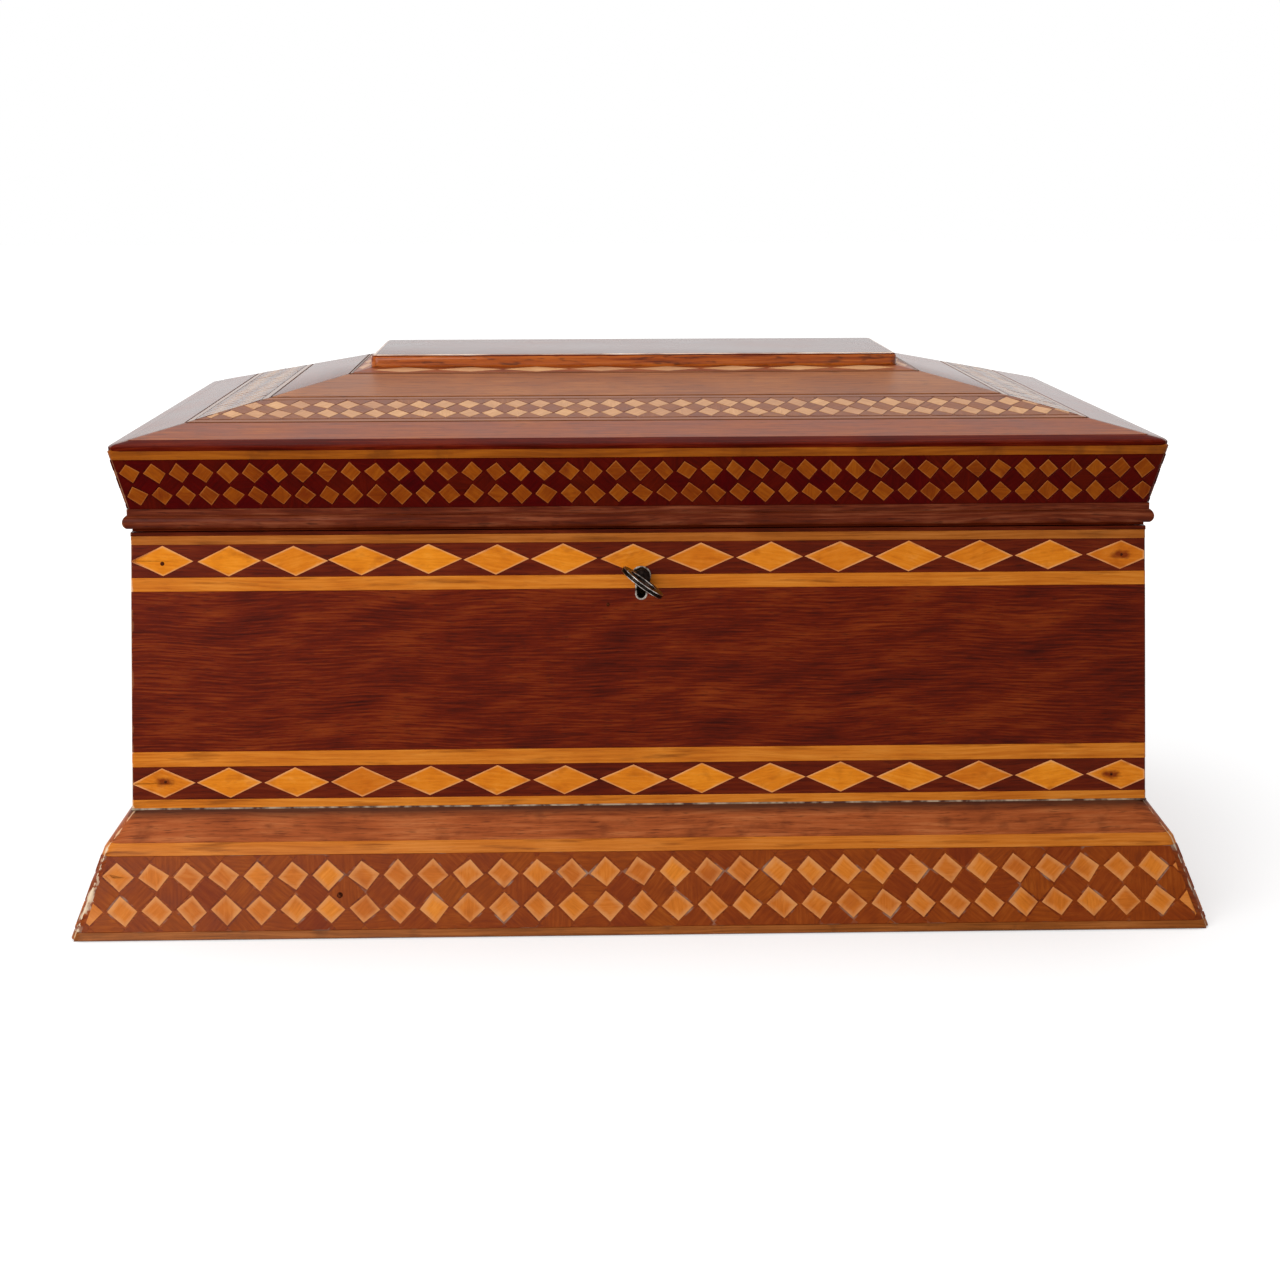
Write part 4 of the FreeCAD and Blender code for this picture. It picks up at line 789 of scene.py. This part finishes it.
def checkerSide(side, section, tile, shuffle):
    # a grid stood on its corner: light tiles in two rows, dark ones between them and along both edges
    halfLow, halfHigh, width, lay = sideFrame(side, section)
    halfLength = tile["pitch"] / 2
    halfHeight = (width / 2 - tile["margin"]) / 2
    count = 2 * math.ceil((max(halfLow, halfHigh) / halfLength + tile["spare"]) / 2)
    piece = start("checkerSide", bpy.ops.mesh.primitive_grid_add, x_subdivisions=count, y_subdivisions=count,
                  size=count)
    mesh = piece.data
    mesh.attributes.new("light", "INT", "FACE")
    mesh.attributes.new("tone", "FLOAT", "FACE")
    for face in mesh.polygons:
        mesh.attributes["light"].data[face.index].value = abs(round(face.center.x - face.center.y)) == 1
        mesh.attributes["tone"].data[face.index].value = someTone(shuffle, *tile["tone"])
    offset = shuffle.uniform(-0.5, 0.5) * halfLength
    for corner in mesh.vertices:
        across, up = corner.co.x + corner.co.y, corner.co.y - corner.co.x
        drift = tile["drift"] * (1 + tile["driftSwing"] * math.sin(across * tile["driftPace"] + offset / mm))
        corner.co.x = offset + (across - drift * up) * halfLength + shuffle.uniform(-1, 1) * tile["wander"]
        corner.co.y = width / 2 + up * halfHeight + shuffle.uniform(-1, 1) * tile["wander"]
    trim(piece, halfLow, halfHigh, width, tile)
    dropSmall(piece, tile["smallest"])
    editWhole(piece, "FACE")
    bpy.ops.mesh.inset(thickness=tile["joint"] / 2, use_individual=True)
    bpy.ops.mesh.select_all(action="INVERT")
    bpy.ops.mesh.delete(type="FACE")
    leaveEdit()
    shrinkLight(piece, tile, shuffle)
    trim(piece, halfLow, halfHigh, width, tile)
    dropSmall(piece, tile["smallest"] / 2)
    thicken(piece, tile, shuffle)
    mesh.transform(lay)
    return piece


def shrinkLight(piece, tile, shuffle):
    # the light tiles stand clear of each other at their tips and were laid a little turned
    mesh = piece.data
    workFaces(piece, lightTiles(mesh), bpy.ops.mesh.inset, thickness=tile["lightGap"], use_individual=True)
    for face, light in zip(mesh.polygons, lightTiles(mesh)):
        if light and face.select:
            turn = Matrix.Rotation(math.radians(shuffle.gauss(0, tile["twist"])), 3, "Z")
            middle = face.center.copy()
            for corner in face.vertices:
                mesh.vertices[corner].co = middle + turn @ (mesh.vertices[corner].co - middle)
    spare = [light and not face.select for face, light in zip(mesh.polygons, lightTiles(mesh))]
    workFaces(piece, spare, bpy.ops.mesh.delete, type="FACE")


def layChecker(place, section, tile, ends=()):
    shuffle = random.Random(tile["seed"])
    sides = [checkerSide(side, section, tile, shuffle) for side in sideTurns]
    light = joinPieces(sides, f"{place}CheckerSquares")
    dark = [not isLight for isLight in lightTiles(light.data)]
    workFaces(light, dark, bpy.ops.mesh.separate, type="SELECTED")
    dark = next(other for other in bpy.context.selected_objects if other is not light)
    dark.name = f"{place}CheckerGround"
    groove = tile["groove"]
    bed = addStrip(f"{place}CheckerBed", sunk(section, groove), veneer - groove, tile["corner"])
    where = place.capitalize()
    seat(bed, f"{place}_checker_ground", wood[f"rosewood{where}Bed"])
    seat(dark, f"{place}_checker_ground", wood[f"rosewood{where}"])
    seat(light, f"{place}_checker_squares", wood[f"satinwood{where}"])
    for part, finish in zip((light, dark, bed), ends):
        finishEnds(part, wood[finish])
    print(place, "checker laid:", len(light.data.polygons), "light,", len(dark.data.polygons), "dark faces")


tileCut = {"thickness": 0.9 * mm, "ease": 0.07 * mm, "lift": 0.05 * mm, "tilt": 0.006, "groove": 0.08 * mm,
           "grainTurns": (45, -45, 40, -50, 0, 90), "grainSwing": 6, "twist": 3.0, "edgeGap": 0.06 * mm,
           "wander": 0.3 * mm, "driftSwing": 0.8, "driftPace": 0.11, "smallRim": 0.4, "tone": (0.5, 0.22),
           "spare": 6}    # squares past the ends, which the mitres cut off
plinthTiles = {**tileCut, "seed": 11, "pitch": 10.3 * mm, "margin": 1.2 * mm, "joint": 0.2 * mm,
               "lightGap": 0.34 * mm, "drift": 0.1, "mitreGap": 2.6 * mm, "smallest": 1.6 * mm ** 2,
               "rim": 1.7 * mm, "rimArea": 22 * mm ** 2, "corner": "plinthCorner"}
friezeTiles = {**tileCut, "seed": 23, "pitch": 7.05 * mm, "margin": 0.7 * mm, "joint": 0.04 * mm,
               "lightGap": 0.32 * mm, "drift": 0.12, "mitreGap": 0.9 * mm, "smallest": 0.8 * mm ** 2,
               "rim": 0.4 * mm, "rimArea": 10 * mm ** 2, "corner": "lidCorner"}
roofTiles = {**tileCut, "seed": 37, "pitch": 7.2 * mm, "margin": 0.7 * mm, "joint": 0.05 * mm,
             "lightGap": 0.16 * mm, "drift": 0.16, "mitreGap": 0.3 * mm, "smallest": 1.2 * mm ** 2,
             "corner": "corner"}
layChecker("plinth", plinthBand, plinthTiles)
layChecker("frieze", friezeBand, friezeTiles)
layChecker("roof", roofBand, roofTiles, ("satinwoodEnds", "rosewoodEnds", "rosewoodEndsBed"))


def lozengeSide(side, section, tile, shuffle):
    # a row of long lozenges, each a little out of true
    halfLow, halfHigh, width, lay = sideFrame(side, section)
    length = 2 * min(halfLow, halfHigh)
    count = round(length / tile["pitch"] - tile["endSpare"])
    pitch = length / (count + tile["endGap"])
    piece = start("lozengeSide", bpy.ops.mesh.primitive_circle_add, vertices=4, fill_type="NGON")
    editWhole(piece)
    bpy.ops.mesh.delete(type="VERT")
    stretch, shift, drift = tile["uneven"] if side == "front" else (1, 0, 0)
    ends = [(number - count / 2) * pitch * stretch + shift + drift * (1 - (2 * number / count - 1) ** 2)
            for number in range(count + 1)]
    for left, right in zip(ends, ends[1:]):
        middle = ((left + right) / 2, width / 2, 0)
        half = ((right - left - tile["tipGap"]) / 2, width / 2 - tile["margin"], 1)
        bpy.ops.mesh.primitive_circle_add(vertices=4, radius=1, fill_type="NGON", location=middle)
        bpy.ops.transform.resize(value=half, center_override=middle)
    leaveEdit()
    for corner in piece.data.vertices:
        corner.co.x += shuffle.uniform(-1, 1) * tile["wander"]
        corner.co.y += shuffle.uniform(-1, 1) * tile["rise"]
    tone = piece.data.attributes.new("tone", "FLOAT", "FACE")
    for face in piece.data.polygons:
        tone.data[face.index].value = someTone(shuffle, *tile["tone"])
    editWhole(piece)
    bpy.ops.mesh.normals_make_consistent(inside=False)
    leaveEdit()
    if piece.data.polygons[0].normal.z < 0:
        piece.data.flip_normals()
    trim(piece, halfLow, halfHigh, width, tile)
    thicken(piece, tile, shuffle)
    piece.data.transform(lay)
    return piece


def layLozenges(place, section, tile, node, lightFinish, darkFinish, pierced=False):
    shuffle = random.Random(tile["seed"])
    sides = [lozengeSide(side, section, tile, shuffle) for side in sideTurns]
    light = joinPieces(sides, f"{place}BandLozenges")
    ground = addStrip(f"{place}BandGround", sunk(section, tile["groove"]), veneer - tile["groove"])
    for part, partNode, finish in ((ground, f"{place}_band_ground", darkFinish), (light, node, lightFinish)):
        if pierced:
            cutKeyhole(part)
        seat(part, partNode, wood[finish])
    print(place, "band laid:", len(light.data.polygons), "faces")


lozengeCut = {**tileCut, "pitch": 19.4 * mm, "endSpare": 0.4, "endGap": 0.06, "tipGap": 0.5 * mm,
              "margin": 0.45 * mm, "wander": 0.35 * mm, "rise": 0.21 * mm, "edgeGap": 0.05 * mm,
              "mitreGap": 0.4 * mm, "grainTurns": (0, 0, 180, 12, -12), "lift": 0.03 * mm, "groove": 0.06 * mm,
              "tilt": 0.0015, "rim": 0.7 * mm, "rimArea": 12 * mm ** 2, "tone": (0.55, 0.2),
              "uneven": (1.016, 1.3 * mm, -3.8 * mm)}    # on the front: stretch, shift and sag of the row
panelCut = {**lozengeCut, "margin": 0.3 * mm, "wander": 0.25 * mm, "rise": 0.15 * mm, "uneven": (1, 0, 0)}
layLozenges("upper", upperBand, {**lozengeCut, "seed": 5}, "upper_lozenges", "satinwoodTile", "rosewoodBand",
            pierced=True)
layLozenges("lower", lowerBand, {**lozengeCut, "seed": 6}, "lower_lozenges", "satinwoodTile", "rosewoodBand")
layLozenges("panel", panelBand, {**panelCut, "seed": 7}, "panel_band_lozenges", "satinwoodRoof",
            "mahoganyRoof")


# raised panel on the roof

panelShape = {"corner": 2.6 * mm, "round": 1.5 * mm, "segments": 5, "footEase": 0.3 * mm, "footAngle": 60,
              "near": 0.1 * mm}
panelFinishes = ("mahoganyPanel", "mahoganyTop", "mahoganyUnderside", "paintedHighlightEdge", "mahoganyArris")
# how steeply a face must look up to be the top, its pale edge with the painted highlight, the dark line of
# painted shade below that, or a side
panelLevels = ((0.99, "mahoganyTop"), (0.8, "paintedHighlightEdge"), (0.6, "mahoganyArris"), (-0.95, "mahoganyPanel"))


def addPanel():
    low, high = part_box("top_panel")
    near = panelShape["near"]
    panel = start("raisedPanel", bpy.ops.mesh.primitive_cube_add, size=1, location=(low + high) / 2)
    panel.scale = high - low
    applyPlace(panel)
    bevelEdges(panel, lambda a, b: abs(a.z - b.z) > near, panelShape["corner"], panelShape["segments"])
    bevelEdges(panel, lambda a, b: min(a.z, b.z) > high.z - near, panelShape["round"],
               panelShape["segments"])
    easeEdges(panel, panelShape["footEase"], 2, panelShape["footAngle"])
    smoothRounds(panel)
    seat(panel, "top_panel", *[wood[name] for name in panelFinishes])
    for face in panel.data.polygons:
        finish = next((name for level, name in panelLevels if face.normal.z > level), "mahoganyUnderside")
        face.material_index = panelFinishes.index(finish)


addPanel()
print("panel made")


# keyhole liner, key and the few nails that show

def addLiner():
    liner, *rest = keyholeParts(0, linerHigh.y - linerLow.y)
    liner.name = "keyholeLiner"
    applyPlace(liner, rotation=True)
    combine(liner, rest, "UNION")
    combine(liner, keyholeParts(keyhole["wall"], keyhole["cutDepth"]), "DIFFERENCE")
    easeEdges(liner, keyhole["ease"], 2)
    smoothRounds(liner)
    seat(liner, "escutcheon", metal["shadedLinerSteel"])


keyShape = {"steps": 40, "ease": 0.22 * mm, "rings": 0.5 * mm, "neck": 1.5 * mm, "near": 0.1 * mm,
            "pipeWall": 0.3 * mm, "bowMargin": 2 * mm, "eyeWidth": 1.2 * mm, "weld": 0.001 * mm}


def spinRound(name, profile, centre, axis):
    # a line of points turned once round an axis
    piece = start(name, bpy.ops.mesh.primitive_plane_add, size=1)
    editWhole(piece)
    bpy.ops.mesh.merge(type="CENTER")
    leaveEdit()
    piece.data.vertices[0].co = profile[0]
    for before, after in zip(profile, profile[1:]):
        editChosen(piece, "VERT")
        bpy.ops.mesh.extrude_region_move(TRANSFORM_OT_translate={"value": Vector(after) - Vector(before)})
        leaveEdit()
    editWhole(piece)
    bpy.ops.mesh.spin(steps=keyShape["steps"], angle=2 * math.pi, center=centre, axis=axis)
    bpy.ops.mesh.select_all(action="SELECT")
    bpy.ops.mesh.remove_doubles(threshold=keyShape["weld"])
    bpy.ops.mesh.normals_make_consistent(inside=False)
    leaveEdit()
    return piece


def addKey():
    # sizes are read from the solid: distance from the key's axis against the place along it
    points = [(math.hypot(v.co.x, v.co.z - keyAxis), v.co) for v in nodes["key"].data.vertices]
    front, tip = [corner.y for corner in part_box("key")]
    near, ring = keyShape["near"], keyShape["rings"]
    inLock = [(out, co) for out, co in points if co.y > linerHigh.y]
    outside = [(out, co) for out, co in points if co.y < linerLow.y]
    bitPoints = [co for out, co in inLock if out > linerHigh.x]
    bitReach = max(out for out, co in inLock)
    bitStart = min(co.y for co in bitPoints)
    bitTurn = math.atan2(sum(co.z - keyAxis for co in bitPoints), sum(co.x for co in bitPoints))

    def width(corners):
        return 2 * max(abs(co.x * math.sin(bitTurn) - (co.z - keyAxis) * math.cos(bitTurn)) for co in corners)

    atTip = [out for out, co in points if co.y > tip - near]
    bore = min(atTip)
    boreEnd = min(co.y for out, co in inLock if out < bore + near / 10)
    shank = min(out for out in atTip if out > bore + keyShape["pipeWall"])
    bowOut = max(out for out, co in outside)
    bowMiddle = front + bowOut
    collarEnd = max(co.y for out, co in outside if co.y < linerLow.y - near)
    collar = max(out for out, co in points if abs(co.y - collarEnd) < near / 2)
    eyePoints = [co for out, co in points if co.y < bowMiddle and out < keyShape["eyeWidth"]]
    bowHole = min(bowMiddle - co.y for co in eyePoints)
    half = width([co for out, co in points if co.y < front + keyShape["bowMargin"]]) / 2
    collarStart = bowMiddle + math.sqrt(bowOut ** 2 - shank ** 2)
    stemEnd = bowMiddle + bowHole + ring
    stem = spinRound("keyStem", [
        (0, boreEnd, 0), (bore, boreEnd, 0), (bore, tip, 0), (shank, tip, 0), (shank, collarEnd, 0),
        (collar, collarEnd, 0), (collar, collarEnd - ring, 0), (shank, collarEnd - 2 * ring, 0),
        (shank, collarStart + 2 * ring, 0), (collar, collarStart + ring, 0), (collar, collarStart, 0),
        (keyShape["neck"], collarStart - 2 * ring, 0), (half, stemEnd, 0), (0, stemEnd, 0)],
        (0, 0, 0), (0, 1, 0))
    bow = spinRound("keyBow", [
        (bowHole, bowMiddle, -half), (bowOut, bowMiddle, -half), (bowOut, bowMiddle, half),
        (bowHole, bowMiddle, half), (bowHole, bowMiddle, -half)], (0, bowMiddle, 0), (0, 0, 1))
    bit = start("keyBit", bpy.ops.mesh.primitive_cube_add, size=1,
                location=((shank + bitReach) / 2 - ring, (bitStart + tip) / 2, 0))
    bit.scale = (bitReach - shank + 2 * ring, tip - bitStart, width(bitPoints))
    applyPlace(bit)
    # the bow's edges are rubbed bright, the rest stays dark
    finishes = (metal["keyIron"], metal["rubbedSteel"])
    for part, edges in ((stem, 0), (bow, 1), (bit, 0)):
        dress(part, *finishes)
        easeEdges(part, keyShape["ease"], 2, material=edges)
    key = joinPieces([stem, bow, bit], "lockKey")
    key.data.transform(Matrix.Translation((0, 0, keyAxis)) @ Matrix.Rotation(-bitTurn, 4, "Y"))
    smoothRounds(key)
    kinds = [face.material_index for face in key.data.polygons]
    seat(key, "key", *finishes)
    key.data.polygons.foreach_set("material_index", kinds)
    print("key made: bow", round(2 * bowOut / mm, 1), "mm, collar", round(2 * collar / mm, 1), "mm, bit at",
          round(math.degrees(bitTurn), 1), "degrees")


# flat heads, cut off below, as shares of the radius; lift is how far a tile may stand out
nailHead = {"segments": 20, "rings": 8, "cut": -0.3, "flat": 0.35, "proud": 0.12, "lift": 0.06 * mm}


def addNails():
    heads = []
    for section, along, share, radius, stained in nails.values():
        width, lay = sideFrame("front", section)[2:]
        head = start("nail", bpy.ops.mesh.primitive_uv_sphere_add, segments=nailHead["segments"],
                     ring_count=nailHead["rings"], radius=radius)
        editWhole(head)
        bpy.ops.mesh.bisect(plane_co=(0, 0, nailHead["cut"] * radius), plane_no=(0, 0, -1), clear_outer=True,
                            use_fill=True)
        bpy.ops.mesh.select_all(action="SELECT")
        bpy.ops.transform.resize(value=(1, 1, nailHead["flat"]), center_override=(0, 0, 0))
        leaveEdit()
        depth = (nailHead["proud"] - nailHead["flat"]) * radius + nailHead["lift"]
        head.data.transform(lay @ Matrix.Translation((along, share * width, depth)))
        heads.append(head)
    piece = joinPieces(heads, "ironNails")
    smoothRounds(piece)
    dress(piece, metal["nailIron"])
    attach(piece, "case")


addLiner()
addKey()
addNails()
print("liner, key and nails made")


# metalwork and plain boards keep their solids and get their finishes

plainNodes = {
    wood["carcassBottom"]: ("bottom_board",),
    wood["carcassBoard"]: [f"{board}_{side}" for board in ("wall", "plinth") for side in sideTurns],
    wood["mahoganyBead"]: ("lid_bead",),
    wood["mahoganyMoulding"]: ("wall_lipping",),
    # dark boards: painted shade in the seam under the lid and in the roof's open joints
    wood["mahoganyBoard"]: [f"{board}_{side}" for board in ("lid_rail", "roof_board") for side in sideTurns],
    metal["agedBrass"]: ("hinge_lower_leaves", "hinge_upper_leaves", "link_plate"),
    metal["tarnishedShadedBrass"]: ("lock_plate",),
    metal["wornSteel"]: ("hinge_pins", "hinge_screws_case", "hinge_screws_lid", "lock_cap", "drill_pin",
                         "bolt_stud", "lock_spring", "lock_screws", "link_screws", "lock_bolt"),
}
for finish, names in plainNodes.items():
    for name in names:
        for slot in nodes[name].material_slots:
            slot.material = finish


# floor, light and camera

studio = {
    "floorSize": 12.0, "floorColour": "#C4C4C4", "floorGlow": (0.5, 0.9), "glowReach": (0.2, 1.2), "fill": 0.3,
    "aim": (0.0, 0.0, 0.08),
}
lamps = {
    "keyLamp": {"place": (-0.6, -0.9, 0.5), "size": 0.95, "power": 9.6},
    "topLamp": {"place": (-0.1, 0.3, 1.6), "size": 1.6, "power": 21.0},
}


def seenDirectly(add):
    # 1 where the eye meets the background, straight or in metal and glass
    path = add("LightPath").outputs
    seen = add("Math", (path["Is Camera Ray"], path["Is Glossy Ray"]), operation="MAXIMUM")
    return add("Math", (seen, path["Is Transmission Ray"]), operation="MAXIMUM")


def addFloor():
    floor = start("floor", bpy.ops.mesh.primitive_plane_add, size=studio["floorSize"])
    # pale matt paint with a painted glow, seen straight on and in reflections, weaker near the box and
    # brighter away from it
    finish, add, spot = newFinish("paleFloor")
    distance = add("VectorMath", (spot,), operation="LENGTH").outputs["Value"]
    level = add("MapRange", (distance, *studio["glowReach"], *studio["floorGlow"]))
    glow = add("Math", (seenDirectly(add), level), operation="MULTIPLY")
    shader = add("BsdfPrincipled", {
        "Base Color": hexColour(studio["floorColour"]), "Roughness": 0.9, "Specular IOR Level": 0.0,
        "Emission Color": (1, 1, 1, 1), "Emission Strength": glow})
    add("OutputMaterial", {"Surface": shader})
    floor.data.materials.append(finish)


def addWorld():
    world = bpy.data.worlds.new("studioWorld")
    bpy.context.scene.world = world
    world.use_nodes = True
    world.node_tree.nodes.clear()
    add = partial(addNode, world.node_tree)
    strength = add("MapRange", (seenDirectly(add), 0.0, 1.0, studio["fill"], 1.0))
    sky = add("Background", {"Color": (1, 1, 1, 1), "Strength": strength})
    add("OutputWorld", {"Surface": sky})


def addLamp(name, look):
    lamp = bpy.data.lights.new(name, "AREA")
    lamp.shape = "DISK"
    lamp.size = look["size"]
    lamp.energy = look["power"]
    holder = bpy.data.objects.new(name, lamp)
    bpy.context.collection.objects.link(holder)
    holder.location = look["place"]
    holder.rotation_euler = (Vector(studio["aim"]) - holder.location).to_track_quat("-Z", "Y").to_euler()


view = {"place": (-0.0197, -0.7819, 0.2249), "pitch": 11.51, "yaw": 1.62, "roll": -0.15, "focalPixels": 2338.0,
        "framePixels": 1280.0, "sensor": 36.0}


def addCamera():
    data = bpy.data.cameras.new("camera")
    data.sensor_width = view["sensor"]
    data.lens = view["focalPixels"] / view["framePixels"] * view["sensor"]
    camera = bpy.data.objects.new("camera", data)
    bpy.context.collection.objects.link(camera)
    tilt = Matrix.Rotation(math.radians(view["pitch"]), 3, "X")
    turn = Matrix.Rotation(math.radians(view["yaw"]), 3, "Z")
    bank = Matrix.Rotation(math.radians(view["roll"]), 3, "Y")
    right, ahead, up = bank @ tilt @ turn
    pose = Matrix((right, up, -ahead)).transposed().to_4x4()
    pose.translation = view["place"]
    camera.matrix_world = pose
    bpy.context.scene.camera = camera


addFloor()
addWorld()
for name, look in lamps.items():
    addLamp(name, look)
addCamera()
bpy.context.scene.view_settings.view_transform = "Standard"
print("studio set")
